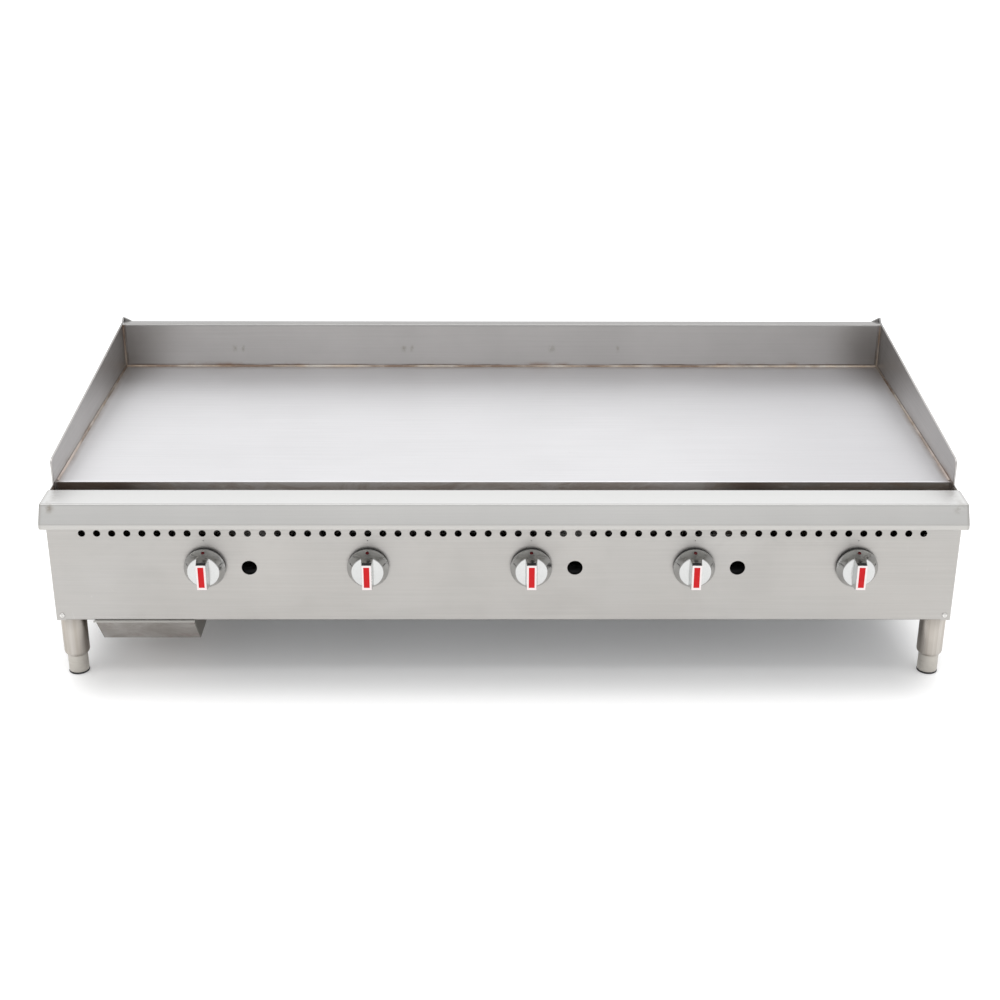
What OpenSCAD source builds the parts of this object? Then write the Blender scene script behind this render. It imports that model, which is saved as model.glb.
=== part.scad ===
// Countertop gas griddle: a thick steel plate with splash guards, over a burner box on four
// adjustable legs, with a grease trough behind the front rail and a tray under its drain.
// Millimetres. +X is to the operator's right, +Y to the back, +Z up.
// The origin is on the floor, under the centre of the bounding box.

/* [Overall] */
// Width over the front rail
overall_w = 1524; // [1500:1:1540]
// Depth from the front of the knobs to the back of the rear flange
overall_d = 734; // [724:1:754]
// Width over the side panels
body_w = 1520; // [1496:1:1536]
// Floor to the underside of the body
leg_h = 110; // [104:1:122]

/* [Plate and splash guards] */
// Top of the plate above the underside of the body
plate_rise = 221; // [215:1:230]
// Thickness of the griddle plate
plate_t = 19; // [12:1:22]
// Splash guard height above the plate at the back
splash_back_h = 89; // [60:1:110]
// Splash guard height above the plate at the front
splash_front_h = 46; // [30:1:58]
// Thickness of the splash guard sheet
splash_t = 3.5; // [2:0.5:4]

/* [Front rail and trough] */
// How far the rail's nose stands out from the control panel
rail_reach = 37; // [30:1:45]
// How far the rail's front face leans out from top to bottom
rail_lean = 20; // [10:1:24]
// Height of the rail's front face
rail_h = 38; // [34:1:44]
// Height of the upright band at the foot of that face
rail_band = 9.5; // [6:0.5:12]
// Depth of the rail's flat top
rail_top_d = 59; // [50:1:62]
// Open width between the rail and the plate
trough_gap = 42; // [38:1:46]

/* [Controls] */
// Distance between neighbouring burners and their knobs
knob_pitch = 273; // [240:1:276]
// Offset of the middle knob from the body's centre
knob_shift = 45; // [0:1:48]
// Height of the knobs above the underside of the body
knob_rise = 102; // [95:1:106]
// How far the knobs stand out from the control panel
knob_reach = 45; // [42:1:48]
// Radius of the knob's skirt
knob_r = 35; // [32:0.5:36]
// Distance between neighbouring vent holes
vent_pitch = 25; // [24:0.5:25]
// Number of vent holes
vent_count = 57; // [21:2:57]
// Radius of a lighting port
port_r = 13; // [9:0.5:13]

/* [Legs and tray] */
// Radius of the leg tubes
leg_r = 21.7; // [21:0.1:22]
// Radius of the adjustable feet
foot_r = 17.2; // [15:0.1:17.4]
// Width of the grease tray between its walls
tray_w = 168; // [150:1:168]
// Length of the grease tray
tray_l = 480; // [300:10:520]

/* [Hidden] */
$fn = 64;
eps = 0.01;
burners = [1, 2, 3, 4, 5];
corners = [1, 2, 3, 4];

// Sheet thicknesses and the gaps between parts
sheet_t = 1.5;
stout_t = 2;
angle_t = 3;
slip = 0.1;
run_gap = 0.05;
seam = 0.03;

// Main levels and planes
body_z = leg_h;
plate_z = body_z + plate_rise;
plate_low = plate_z - plate_t;
rail_z = plate_z + 3;
rail_low = rail_z - rail_h;
floor_z = body_z + sheet_t;
floor_top = floor_z + sheet_t;
panel_y = -overall_d / 2 + knob_reach;
nose_y = panel_y - rail_reach;
rail_face_y = nose_y + rail_lean;
rail_back_y = rail_face_y + rail_top_d;
plate_front_y = rail_back_y + trough_gap;
rear_y = overall_d / 2;
flange_d = 23;
plate_back_y = rear_y - flange_d;
rear_panel_y = plate_back_y - 2;
side_x = body_w / 2;
splash_x = side_x - splash_t;
splash_front_y = plate_front_y - 18;
splash_tip_z = plate_z + splash_front_h;
splash_top_z = plate_z + splash_back_h;

// Control positions, shared by the panel, valves, burners and heat shield
knob_x = [for (i = [-2:2]) knob_shift + i * knob_pitch];
knob_z = body_z + knob_rise;
port_x = [for (i = [0, 2, 3]) knob_x[i] + 73.5];
port_z = knob_z - 2.5;
vent_z = body_z + 163;
vent_r = 6;
vent_shift = -2;
mark_z = knob_z + 48;
stem_r = 4;
stem_flat = 2.8;

// Gas line
pipe_r = 13.35;
pipe_bore = 10.5;
pipe_y = panel_y + 41;
pipe_z = knob_z - 31;
pipe_start_x = -555;
supply_x = side_x - 42;
elbow_r = 24;

// Burners
tube_r = 16;
throat_r = 15;
tube_spread = 70;
burner_front_y = plate_front_y + 92;
burner_back_y = plate_back_y - 40;
throat_y = pipe_y + 30;
shutter_l = 20;
shield_y = plate_front_y + 12;

// Pilot lines, beside the lighting ports
pilot_step = 22;
pilot_z = knob_z - 5;

// Trough, drain and tray
trough_z = body_z + 142;
drain_r = 15;
drain_half = 10.5;
drain_x = -612;
drain_y = rail_back_y + trough_gap / 2 - 1;
tray_x = drain_x;
tray_top = body_z - 0.4;
tray_low = body_z - 61;
tray_t = 1.2;
tray_slope = 50;

// Leg places, at the corners of the body, front left first
leg_inset = 22;
leg_spots = [
    for (y = [panel_y + leg_inset + 2, rear_panel_y - leg_inset - 2])
        for (x = [-side_x + leg_inset, side_x - leg_inset]) [x, y]
];
stud_r = 8;
collar_z = 35;

// ---------- outlines ----------

function unit(v) = v / norm(v);
function left_of(v) = [-v[1], v[0]];
function turned(v, a) = [v[0] * cos(a) - v[1] * sin(a), v[0] * sin(a) + v[1] * cos(a)];
function turn_angle(u, v) = atan2(u[0] * v[1] - u[1] * v[0], u * v);
function reversed(list) = [for (i = [len(list) - 1:-1:0]) list[i]];

// One bend of a folded sheet, or the stretch of it between two fractions of its angle: points at
// distance d to the left of its mid-line
function bend(p, u, v, r, d, from = 0, to = 1, steps = 6) =
    let (a = turn_angle(u, v), s = sign(a), c = p - r * tan(abs(a) / 2) * u + s * r * left_of(u))
    [for (i = [0:steps])
        c - s * (r - s * d) * left_of(turned(u, a * (from + (to - from) * i / steps)))];

function sheet_side(path, radii, d) =
    let (n = len(path))
    concat(
        [path[0] + d * left_of(unit(path[1] - path[0]))],
        [for (i = [1:n - 2])
            each bend(path[i], unit(path[i] - path[i - 1]), unit(path[i + 1] - path[i]),
                      radii[i - 1], d)],
        [path[n - 1] + d * left_of(unit(path[n - 1] - path[n - 2]))]
    );

// Section of a folded sheet of thickness t along a mid-line, with a bend radius at each corner
function folded(path, radii, t) =
    concat(sheet_side(path, radii, t / 2), reversed(sheet_side(path, radii, -t / 2)));

// Section of one straight run of that sheet, with half of the bend at each of its ends, cut a
// hair short of the bend's middle
half_gap = 0.02;

function run_side(path, radii, k, d) =
    let (n = len(path), u = unit(path[k + 1] - path[k]))
    concat(
        k == 0 ? [path[0] + d * left_of(u)]
            : bend(path[k], unit(path[k] - path[k - 1]), u, radii[k - 1], d, 0.5 + half_gap, 1),
        k == n - 2 ? [path[n - 1] + d * left_of(u)]
            : bend(path[k + 1], u, unit(path[k + 2] - path[k + 1]), radii[k], d, 0, 0.5 - half_gap)
    );

function run_outline(path, radii, k, t) =
    concat(run_side(path, radii, k, t / 2), reversed(run_side(path, radii, k, -t / 2)));

// ---------- placing ----------

// Extrudes a Y-Z outline along X
module along_x(x0, x1) {
    translate([x0, 0, 0]) rotate([90, 0, 90]) linear_extrude(x1 - x0) children();
}

// Extrudes an X-Z outline along Y
module along_y(y0, y1) {
    translate([0, y1, 0]) rotate([90, 0, 0]) linear_extrude(y1 - y0) children();
}

module block(from, to) {
    translate(from) cube(to - from);
}

module rod_x(y, z, x0, x1, r) {
    translate([x0, y, z]) rotate([0, 90, 0]) cylinder(r = r, h = x1 - x0);
}

module rod_y(x, z, y0, y1, r) {
    translate([x, y0, z]) rotate([-90, 0, 0]) cylinder(r = r, h = y1 - y0);
}

module rod_z(x, y, z0, z1, r) {
    translate([x, y, z0]) cylinder(r = r, h = z1 - z0);
}

module mirrored_x(side) {
    scale_x = side < 0 ? 1 : 0;
    mirror([scale_x, 0, 0]) children();
}

// ---------- casing ----------

screw_r = 2;
screw_inset = 10;
screw_rise = 9.3;

module front_panel() {
    top_z = rail_low + 18;
    path = [
        [panel_y + 14, body_z + sheet_t / 2],
        [panel_y + sheet_t / 2, body_z + sheet_t / 2],
        [panel_y + sheet_t / 2, top_z],
        [panel_y + 26, top_z]
    ];
    fold_x = side_x - 16;
    color("silver") {
        // Folded foot and head
        for (k = [0, 2]) along_x(-fold_x, fold_x) polygon(run_outline(path, [2, 2], k, sheet_t));
        // Face with its holes
        difference() {
            union() {
                along_x(-fold_x, fold_x) polygon(run_outline(path, [2, 2], 1, sheet_t));
                block([-side_x, panel_y, body_z], [-fold_x, panel_y + sheet_t, top_z - 4]);
                block([fold_x, panel_y, body_z], [side_x, panel_y + sheet_t, top_z - 4]);
            }
            for (i = [0:vent_count - 1])
                rod_y(vent_shift + (i - (vent_count - 1) / 2) * vent_pitch, vent_z,
                      panel_y - 1, panel_y + 3, vent_r);
            for (x = port_x) rod_y(x, port_z, panel_y - 1, panel_y + 3, port_r);
            for (x = knob_x) {
                rod_y(x, knob_z, panel_y - 1, panel_y + 3, stem_r + 2);
                rod_y(x, mark_z, panel_y - 1, panel_y + 3, 0.9);
            }
            for (s = [-1, 1])
                rod_y(s * (side_x - screw_inset), body_z + screw_rise, panel_y - 1, panel_y + 3,
                      screw_r + slip);
        }
    }
}

// Y-Z mid-line of the rail, from the hem at the trough round to the ledge on the panel
rail_path = [
    [rail_back_y - sheet_t / 2, rail_z - 16],
    [rail_back_y - sheet_t / 2, rail_z - sheet_t / 2],
    [rail_face_y + sheet_t / 2, rail_z - sheet_t / 2],
    [nose_y + sheet_t / 2, rail_low + rail_band],
    [nose_y + sheet_t / 2, rail_low + sheet_t / 2],
    [panel_y - slip - sheet_t / 2, rail_low + sheet_t / 2],
    [panel_y - slip - sheet_t / 2, rail_low + 14]
];
rail_bends = [1.5, 2.5, 4, 1.8, 1.5];

module front_rail() {
    rail_x = overall_w / 2;
    inner_x = rail_x - sheet_t - seam;
    // The hem at the trough stops short of the side panels
    hem_x = side_x - sheet_t - 0.4;
    color("gainsboro") {
        for (k = [0:len(rail_path) - 2])
            along_x(k == 0 ? -hem_x : -inner_x, k == 0 ? hem_x : inner_x)
                polygon(run_outline(rail_path, rail_bends, k, sheet_t));
        for (x = [-rail_x, rail_x - sheet_t])
            along_x(x, x + sheet_t) polygon(sheet_side(rail_path, rail_bends, -sheet_t / 2));
    }
}

module side_panel(side) {
    top_z = plate_low - slip;
    ear_z = rail_z - 2;
    front = panel_y + sheet_t;
    inner = side_x - sheet_t;
    color("silver") mirrored_x(side) {
        along_x(inner, side_x) polygon([
            [front, body_z], [rear_panel_y, body_z], [rear_panel_y, top_z],
            [splash_front_y, top_z], [splash_front_y - slip, ear_z],
            [front + 6, ear_z], [front, ear_z - 6]
        ]);
        block([side_x - 12, front + sheet_t + seam, body_z],
              [inner - seam, rear_panel_y - sheet_t - seam, body_z + sheet_t]);
        difference() {
            block([side_x - 15.5, front, body_z], [inner - seam, front + sheet_t, rail_low]);
            rod_y(side_x - screw_inset, body_z + screw_rise, front - 1, front + 3, screw_r + slip);
        }
        difference() {
            block([side_x - 20, rear_panel_y - sheet_t, body_z],
                  [inner - seam, rear_panel_y, top_z - 40]);
            for (z = rear_screw_z)
                rod_y(side_x - screw_inset, z, rear_panel_y - 3, rear_panel_y + 1, screw_r + slip);
        }
    }
}

rear_screw_z = [body_z + 20, body_z + 140];
flue_w = 140;
flue_h = 22;
flue_z = body_z + 160;

module rear_panel() {
    low = body_z + 4;
    color("silver") difference() {
        block([-side_x + 2, rear_panel_y, low], [side_x - 2, rear_panel_y + sheet_t, plate_low - 1]);
        for (x = knob_x)
            block([x - flue_w / 2, rear_panel_y - 1, flue_z],
                  [x + flue_w / 2, rear_panel_y + 3, flue_z + flue_h]);
        rod_y(supply_x, pipe_z, rear_panel_y - 1, rear_panel_y + 3, pipe_r + 2);
        for (s = [-1, 1]) for (z = rear_screw_z)
            rod_y(s * (side_x - screw_inset), z, rear_panel_y - 1, rear_panel_y + 3, screw_r + slip);
    }
}

air_w = 150;
air_d = 60;
air_y = [-120, 120];

module bottom_panel() {
    inner = side_x - sheet_t - slip;
    front = panel_y + 2 * sheet_t + slip;
    back = rear_panel_y - sheet_t - slip;
    gap = drain_r + 4;
    color("darkgray") {
        difference() {
            for (x = [[-inner, drain_x - gap - seam], [drain_x + gap + seam, inner]])
                block([x[0], front, floor_z], [x[1], back, floor_top]);
            for (x = knob_x) for (y = air_y)
                block([x - air_w / 2, y - air_d / 2, floor_z - 1],
                      [x + air_w / 2, y + air_d / 2, floor_top + 1]);
            for (p = leg_spots) rod_z(p[0], p[1], floor_z - 1, floor_top + 1, stud_r + 0.3);
        }
        // Strips in front of and behind the hole for the grease chute
        for (y = [[front, drain_y - gap], [drain_y + gap, back]])
            block([drain_x - gap, y[0], floor_z], [drain_x + gap, y[1], floor_top]);
    }
}

// ---------- plate and splash guards ----------

weld_leg = 3.4;
weld_prep = 0.3;

// The top is let down a little along the welded edges, so that the beads stand clear of it
module griddle_plate() {
    ease = 1.5;
    half = splash_x - slip;
    prep_w = weld_leg + 0.8;
    color("lightgray") difference() {
        along_x(-half, half) polygon([
            [plate_front_y, plate_low], [plate_back_y - slip, plate_low],
            [plate_back_y - slip, plate_z], [plate_front_y + ease, plate_z],
            [plate_front_y, plate_z - ease]
        ]);
        for (s = [-1, 1]) mirrored_x(s)
            block([half - prep_w, plate_front_y - 1, plate_z - weld_prep],
                  [half + 1, plate_back_y, plate_z + 1]);
        block([-half - 1, plate_back_y - prep_w, plate_z - weld_prep],
              [half + 1, plate_back_y + 1, plate_z + 1]);
    }
}

module side_splash(side) {
    slope = (splash_back_h - splash_front_h) / (plate_back_y - splash_front_y);
    rear_z = splash_top_z + slope * flange_d;
    tip_r = 8;
    ear_w = 14;
    ear_rise = 6;
    color("darkgray") mirrored_x(side) {
        along_x(splash_x, side_x) difference() {
            polygon([
                [splash_front_y, plate_low], [rear_y, plate_low], [rear_y, rear_z + ear_rise],
                [rear_y - 12, rear_z], [splash_front_y, splash_tip_z]
            ]);
            translate([splash_front_y, splash_tip_z]) difference() {
                translate([-1, -tip_r]) square([tip_r + 1, tip_r + 4]);
                translate([tip_r, -tip_r]) circle(r = tip_r);
            }
        }
        along_y(rear_y - splash_t, rear_y) polygon([
            [splash_x + eps, plate_z + 20], [splash_x + eps, rear_z + ear_rise],
            [splash_x - ear_w, splash_top_z + slip], [splash_x - ear_w, plate_z + 20]
        ]);
    }
}

module back_splash() {
    half = splash_x - slip;
    web_y = plate_back_y + splash_t / 2;
    flange_z = splash_top_z - splash_t / 2;
    path = [[web_y, plate_low], [web_y, flange_z], [rear_y - splash_t - slip, flange_z]];
    color("darkgray") for (k = [0, 1])
        along_x(-half, half) polygon(run_outline(path, [splash_t / 2 + 1], k, splash_t));
}

// Fillet section in the corner at the origin, with its legs along +x and +y
module bead_section(leg) {
    bulge = leg * 0.58;
    polygon([[0, 0], [leg, 0], [bulge, bulge], [0, leg]]);
}

module weld_beads() {
    base_z = plate_z - weld_prep;
    color("gray") union() {
        for (s = [-1, 1]) mirrored_x(s) {
            along_y(plate_front_y + 2, plate_back_y)
                translate([splash_x, base_z]) mirror([1, 0]) bead_section(weld_leg);
            translate([splash_x, plate_back_y, base_z]) rotate([0, 0, 180])
                linear_extrude(splash_back_h - 2) bead_section(weld_leg);
        }
        along_x(-splash_x, splash_x)
            translate([plate_back_y, base_z]) mirror([1, 0]) bead_section(weld_leg);
    }
}

// ---------- grease path ----------

// Welded from flat plates, each a hair clear of its neighbours
module grease_trough() {
    front = rail_back_y + slip;
    back = plate_front_y + 4 + stout_t / 2;
    half = side_x - sheet_t - slip;
    wall_z = trough_z + stout_t + seam;
    in_y = front + stout_t + seam;
    end_x = half - stout_t - seam;
    color("dimgray") {
        // Floor, with a square drain hole over the chute's bore
        for (x = [[-half, drain_x - drain_half - seam], [drain_x + drain_half + seam, half]])
            block([x[0], front, trough_z], [x[1], back, trough_z + stout_t]);
        for (y = [[front, drain_y - drain_half], [drain_y + drain_half, back]])
            block([drain_x - drain_half, y[0], trough_z],
                  [drain_x + drain_half, y[1], trough_z + stout_t]);
        block([-half, front, wall_z], [half, front + stout_t, rail_z - 4]);
        block([-end_x, back - stout_t, wall_z], [end_x, back, plate_low - slip]);
        for (x = [-half, half - stout_t]) {
            block([x, in_y, wall_z], [x + stout_t, back, plate_low - slip]);
            block([x, in_y, plate_low - slip + seam], [x + stout_t, splash_front_y - 1, rail_z - 4]);
        }
    }
}

module grease_chute() {
    low = body_z + 0.5;
    color("dimgray") difference() {
        union() {
            rod_z(drain_x, drain_y, low, trough_z - slip, drain_r + 2.5);
            rod_z(drain_x, drain_y, trough_z - 3, trough_z - slip, drain_r + 4);
        }
        rod_z(drain_x, drain_y, low - 1, trough_z + 1, drain_r + 1);
    }
}

tray_half = tray_w / 2;
tray_back_y = panel_y + tray_l;

// Folded and welded from sheet, with each flat a hair clear of its neighbours
module grease_tray() {
    lip_d = 3.5;
    lip_h = 2.4;
    flange = 7;
    top = tray_top;
    foot_y = panel_y + tray_slope;
    floor_z1 = tray_low + tray_t;
    wall_x = tray_half - tray_t;
    in_x = wall_x - seam;
    color("darkgray") translate([tray_x, 0, 0]) {
        block([-in_x, foot_y + 1, tray_low], [in_x, tray_back_y, floor_z1]);
        block([-in_x, tray_back_y - tray_t, floor_z1 + seam], [in_x, tray_back_y, top]);
        along_x(-in_x, in_x) polygon([
            [panel_y + 0.5 + seam, top], [foot_y, tray_low], [foot_y + 1 - seam, tray_low],
            [foot_y + 1 - seam, floor_z1], [panel_y + 1.8, top]
        ]);
        block([-tray_half - 2, panel_y - lip_d, top - lip_h], [tray_half + 2, panel_y + 0.3, top]);
        for (s = [-1, 1]) mirrored_x(s) {
            along_x(wall_x, tray_half) polygon([
                [panel_y + 0.5 + seam, top], [foot_y, tray_low], [tray_back_y, tray_low],
                [tray_back_y, top]
            ]);
            block([tray_half + seam, panel_y + 16, top - tray_t],
                  [tray_half + flange, tray_back_y, top]);
        }
    }
}

module tray_rails() {
    web = tray_half + 9;
    lip_top = tray_top - tray_t - 0.3;
    front = panel_y + 14.2;
    color("gray") translate([tray_x, 0, 0]) for (s = [-1, 1]) mirrored_x(s)
        along_y(front, tray_back_y - 10) polygon([
            [web - 6, lip_top - sheet_t], [web + sheet_t, lip_top - sheet_t],
            [web + sheet_t, floor_z], [web, floor_z], [web, lip_top], [web - 6, lip_top]
        ]);
}

// ---------- frame and burner box ----------

module plate_frame() {
    leg = 30;
    out_x = side_x - sheet_t - 2;
    front = plate_front_y + 7;
    back = rear_panel_y - 2;
    top = plate_low;
    post = 24;
    color("dimgray") union() {
        difference() {
            block([-out_x, front, top - leg], [out_x, back, top]);
            block([-out_x + angle_t, front + angle_t, top - leg - 1],
                  [out_x - angle_t, back - angle_t, top - angle_t]);
            block([-out_x + leg, front + leg, top - leg - 1], [out_x - leg, back - leg, top + 1]);
        }
        for (x = [-1, 1]) mirrored_x(x) for (y = [front, back - post])
            difference() {
                block([out_x - post, y, floor_top], [out_x, y + post, top - angle_t + eps]);
                block([out_x - post - 1, y == front ? y + angle_t : y - 1, floor_top - 1],
                      [out_x - angle_t, y == front ? y + post + 1 : y + post - angle_t, top]);
            }
    }
}

module heat_shield() {
    half = side_x - sheet_t - 32;
    color("gray") difference() {
        block([-half, shield_y, floor_top], [half, shield_y + sheet_t, plate_low - angle_t - 1]);
        for (x = knob_x) rod_y(x, knob_z, shield_y - 1, shield_y + 3, throat_r + 1);
        for (x = port_x) {
            rod_y(x, port_z, shield_y - 1, shield_y + 3, port_r + 2);
            rod_y(x + pilot_step, pilot_z, shield_y - 1, shield_y + 3, 4);
        }
        rod_y(supply_x, pipe_z, shield_y - 1, shield_y + 3, pipe_r + 1);
    }
}

module burner_supports() {
    top = knob_z - tube_r - 0.2;
    half = supply_x - pipe_r - 6;
    color("dimgray") for (y = [burner_front_y + 30, burner_back_y - 30])
        along_x(-half, half) polygon(folded(
            [[y - 20, top - stout_t / 2], [y, top - stout_t / 2], [y, floor_top + stout_t / 2],
             [y + 20, floor_top + stout_t / 2]], [3, 3], stout_t));
}

module burner(i) {
    x = knob_x[i - 1];
    port_step = 30;
    wall = 2;
    color("slategray") difference() {
        union() {
            rod_y(x, knob_z, throat_y, burner_front_y, throat_r);
            rod_x(burner_front_y, knob_z, x - tube_spread, x + tube_spread, tube_r);
            for (s = [-1, 1]) {
                rod_y(x + s * tube_spread, knob_z, burner_front_y, burner_back_y, tube_r);
                translate([x + s * tube_spread, burner_front_y, knob_z]) sphere(r = tube_r);
            }
        }
        rod_y(x, knob_z, throat_y - 1, burner_front_y, throat_r - wall);
        rod_x(burner_front_y, knob_z, x - tube_spread, x + tube_spread, tube_r - wall);
        for (s = [-1, 1])
            rod_y(x + s * tube_spread, knob_z, burner_front_y, burner_back_y - wall, tube_r - wall);
        // Air windows under the shutter
        block([x - 7, throat_y + 6, knob_z - throat_r - 1], [x + 7, throat_y + 16, knob_z + throat_r + 1]);
        for (s = [-1, 1]) for (y = [burner_front_y + 45:port_step:burner_back_y - 15])
            rod_z(x + s * tube_spread, y, knob_z, knob_z + tube_r + 1, 1.6);
    }
}

module air_shutter(i) {
    x = knob_x[i - 1];
    color("lightsteelblue") difference() {
        rod_y(x, knob_z, throat_y + 1, throat_y + 1 + shutter_l, throat_r + 1.6);
        rod_y(x, knob_z, throat_y, throat_y + 2 + shutter_l, throat_r + run_gap);
        block([x - 7, throat_y + 6, knob_z - throat_r - 3], [x + 7, throat_y + 16, knob_z + throat_r + 3]);
    }
}

// ---------- gas line ----------

module manifold_pipe() {
    end_x = supply_x - elbow_r - 6;
    color("darkslategray") difference() {
        rod_x(pipe_y, pipe_z, pipe_start_x, end_x, pipe_r);
        rod_x(pipe_y, pipe_z, pipe_start_x + 4, end_x + 1, pipe_bore);
        for (x = knob_x) rod_z(x, pipe_y, pipe_z + 5, pipe_z + pipe_r + 1, 5);
        for (x = port_x) rod_z(x + pilot_step, pipe_y, pipe_z + 5, pipe_z + pipe_r + 1, 3);
    }
}

module supply_elbow() {
    body_r = pipe_r + 4;
    socket = 14;
    bore = pipe_r + run_gap;
    color("darkslategray") difference() {
        union() {
            translate([supply_x - elbow_r, pipe_y + elbow_r, pipe_z]) rotate([0, 0, -90])
                rotate_extrude(angle = 90) translate([elbow_r, 0]) circle(r = body_r);
            rod_x(pipe_y, pipe_z, supply_x - elbow_r - socket, supply_x - elbow_r, body_r);
            rod_y(supply_x, pipe_z, pipe_y + elbow_r, pipe_y + elbow_r + socket, body_r);
        }
        translate([supply_x - elbow_r, pipe_y + elbow_r, pipe_z]) rotate([0, 0, -90])
            rotate_extrude(angle = 90) translate([elbow_r, 0]) circle(r = pipe_bore);
        rod_x(pipe_y, pipe_z, supply_x - elbow_r - socket - 1, supply_x - elbow_r - 5, bore);
        rod_x(pipe_y, pipe_z, supply_x - elbow_r - 6, supply_x - elbow_r, pipe_bore);
        rod_y(supply_x, pipe_z, pipe_y + elbow_r, pipe_y + elbow_r + 6, pipe_bore);
        rod_y(supply_x, pipe_z, pipe_y + elbow_r + 5, pipe_y + elbow_r + socket + 1, bore);
    }
}

inlet_r = 12.9;
inlet_l = 18;

module supply_pipe() {
    start = pipe_y + elbow_r + 6;
    color("darkslategray") difference() {
        union() {
            rod_y(supply_x, pipe_z, start, rear_y - inlet_l, pipe_r);
            rod_y(supply_x, pipe_z, start, rear_y, inlet_r);
        }
        rod_y(supply_x, pipe_z, start - 1, rear_y + 1, pipe_bore);
    }
}

valve_front_y = panel_y + 18;
valve_back_y = pipe_y + 21;

module gas_valves() {
    color("goldenrod") for (x = knob_x) difference() {
        union() {
            rod_y(x, knob_z, valve_front_y, valve_back_y, 11);
            rod_y(x, knob_z, valve_front_y - 5, valve_front_y, 7);
            rod_z(x, pipe_y, pipe_z + pipe_r - 5, knob_z, 4.9);
            translate([x, pipe_y, pipe_z + pipe_r + 0.3]) cylinder(r = 9, h = 6, $fn = 6);
        }
        rod_y(x, knob_z, valve_front_y - 6, valve_front_y + 20, stem_r + run_gap);
        rod_z(x, pipe_y, pipe_z + pipe_r - 6, knob_z - 4, 3);
        rod_y(x, knob_z, valve_back_y - 8, valve_back_y + 1, 4);
    }
}

module orifices() {
    color("gold") for (x = knob_x) difference() {
        union() {
            rod_y(x, knob_z, valve_back_y - 6, valve_back_y + 12, 3.9);
            translate([x, valve_back_y + 0.2, knob_z]) rotate([-90, 0, 0])
                cylinder(r = 7, h = 8, $fn = 6);
        }
        rod_y(x, knob_z, valve_back_y - 7, valve_back_y + 13, 1.2);
    }
}

module pilot_valves() {
    color("goldenrod") for (p = port_x) {
        x = p + pilot_step;
        difference() {
            union() {
                rod_z(x, pipe_y, pipe_z + pipe_r - 4, knob_z - 14, 2.9);
                translate([x, pipe_y, pipe_z + pipe_r + 0.3]) cylinder(r = 6, h = 5, $fn = 6);
                rod_z(x, pipe_y, knob_z - 14, knob_z + 4, 6);
                rod_y(x, pilot_z, pipe_y - 14, pipe_y, 4);
            }
            rod_z(x, pipe_y, pipe_z + pipe_r - 5, knob_z - 6, 1.6);
            rod_y(x, pilot_z, pipe_y + 1, pipe_y + 7, 3.1);
            block([x - 5, pipe_y - 15, pilot_z - 0.5], [x + 5, pipe_y - 13, pilot_z + 0.5]);
        }
    }
}

module pilot_tubes() {
    tip_y = shield_y + 34;
    z = pilot_z;
    color("peru") for (p = port_x) difference() {
        union() {
            rod_y(p + pilot_step, z, pipe_y + 2, tip_y, 3);
            translate([p + pilot_step, tip_y, z]) sphere(r = 3);
            rod_x(tip_y, z, p, p + pilot_step, 3);
            rod_z(p, tip_y, z - 3, z + 14, 4.5);
        }
        rod_y(p + pilot_step, z, pipe_y + 1, tip_y, 2);
        rod_z(p, tip_y, z + 4, z + 15, 2.5);
    }
}

// ---------- controls ----------

// Puts a part that is drawn in front of a wall at z = 0, upright along y, on the control panel
module on_panel(i) {
    translate([knob_x[i - 1], panel_y, knob_z]) rotate([90, 0, 0]) children();
}

base_gap = 1;
skirt_z = 6;
face_h = 23;
grip_h = knob_reach;
face_r = knob_r - 8.5;
stripe_w = 9.4;
stripe_l = 37;
stripe_t = 0.8;
dot_r = 2.2;
bevel_lean = atan2(face_h - 8.6, knob_r - 0.5 - face_r);
dot_at = [0, (knob_r + face_r) / 2 + 1, 13.6];

module knob(i) {
    grip_root = 10.4;
    grip_tip = 8.4;
    grip_half = 22.6;
    color("silver") on_panel(i) difference() {
        union() {
            rotate_extrude() polygon([
                [0, base_gap], [knob_r - 1, base_gap], [knob_r - 1, skirt_z],
                [knob_r - 0.6, skirt_z], [knob_r, skirt_z + 0.6], [knob_r, 8],
                [knob_r - 0.5, 8.6], [face_r, face_h - 0.5], [face_r - 0.8, face_h], [0, face_h]
            ]);
            intersection() {
                translate([0, 30, 0]) rotate([90, 0, 0]) linear_extrude(60) polygon([
                    [-grip_root, face_h - 3], [grip_root, face_h - 3], [grip_tip, grip_h - 1],
                    [grip_tip - 1, grip_h], [-grip_tip + 1, grip_h], [-grip_tip, grip_h - 1]
                ]);
                rotate([0, -90, 0]) translate([0, 0, -15]) linear_extrude(30) polygon([
                    [face_h - 3, -grip_half - 3], [grip_h - 3, -grip_half], [grip_h, -grip_half + 2],
                    [grip_h, grip_half - 2], [grip_h - 3, grip_half], [face_h - 3, grip_half + 3]
                ]);
            }
        }
        cylinder(r = knob_r - 4, h = 5);
        // Bore with a flat, for the valve stem
        difference() {
            cylinder(r = stem_r + run_gap, h = 28);
            translate([-stem_r - 1, stem_flat + run_gap, 6.2]) cube([2 * stem_r + 2, stem_r, 24]);
        }
        translate([-stripe_w / 2, -stripe_l / 2, grip_h - stripe_t + 0.2]) cube([stripe_w, stripe_l, 2]);
        translate(dot_at) rotate([-bevel_lean, 0, 0]) translate([0, 0, -1]) cylinder(r = dot_r, h = 4);
    }
}

module knob_marks(i) {
    inset = 0.05;
    color("red") on_panel(i) {
        translate([-stripe_w / 2 + inset, -stripe_l / 2 + inset, grip_h - stripe_t + 0.2 + inset])
            cube([stripe_w - 2 * inset, stripe_l - 2 * inset, stripe_t]);
        translate(dot_at) rotate([-bevel_lean, 0, 0]) translate([0, 0, -0.9])
            cylinder(r = dot_r - inset, h = 1.4);
    }
}

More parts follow.
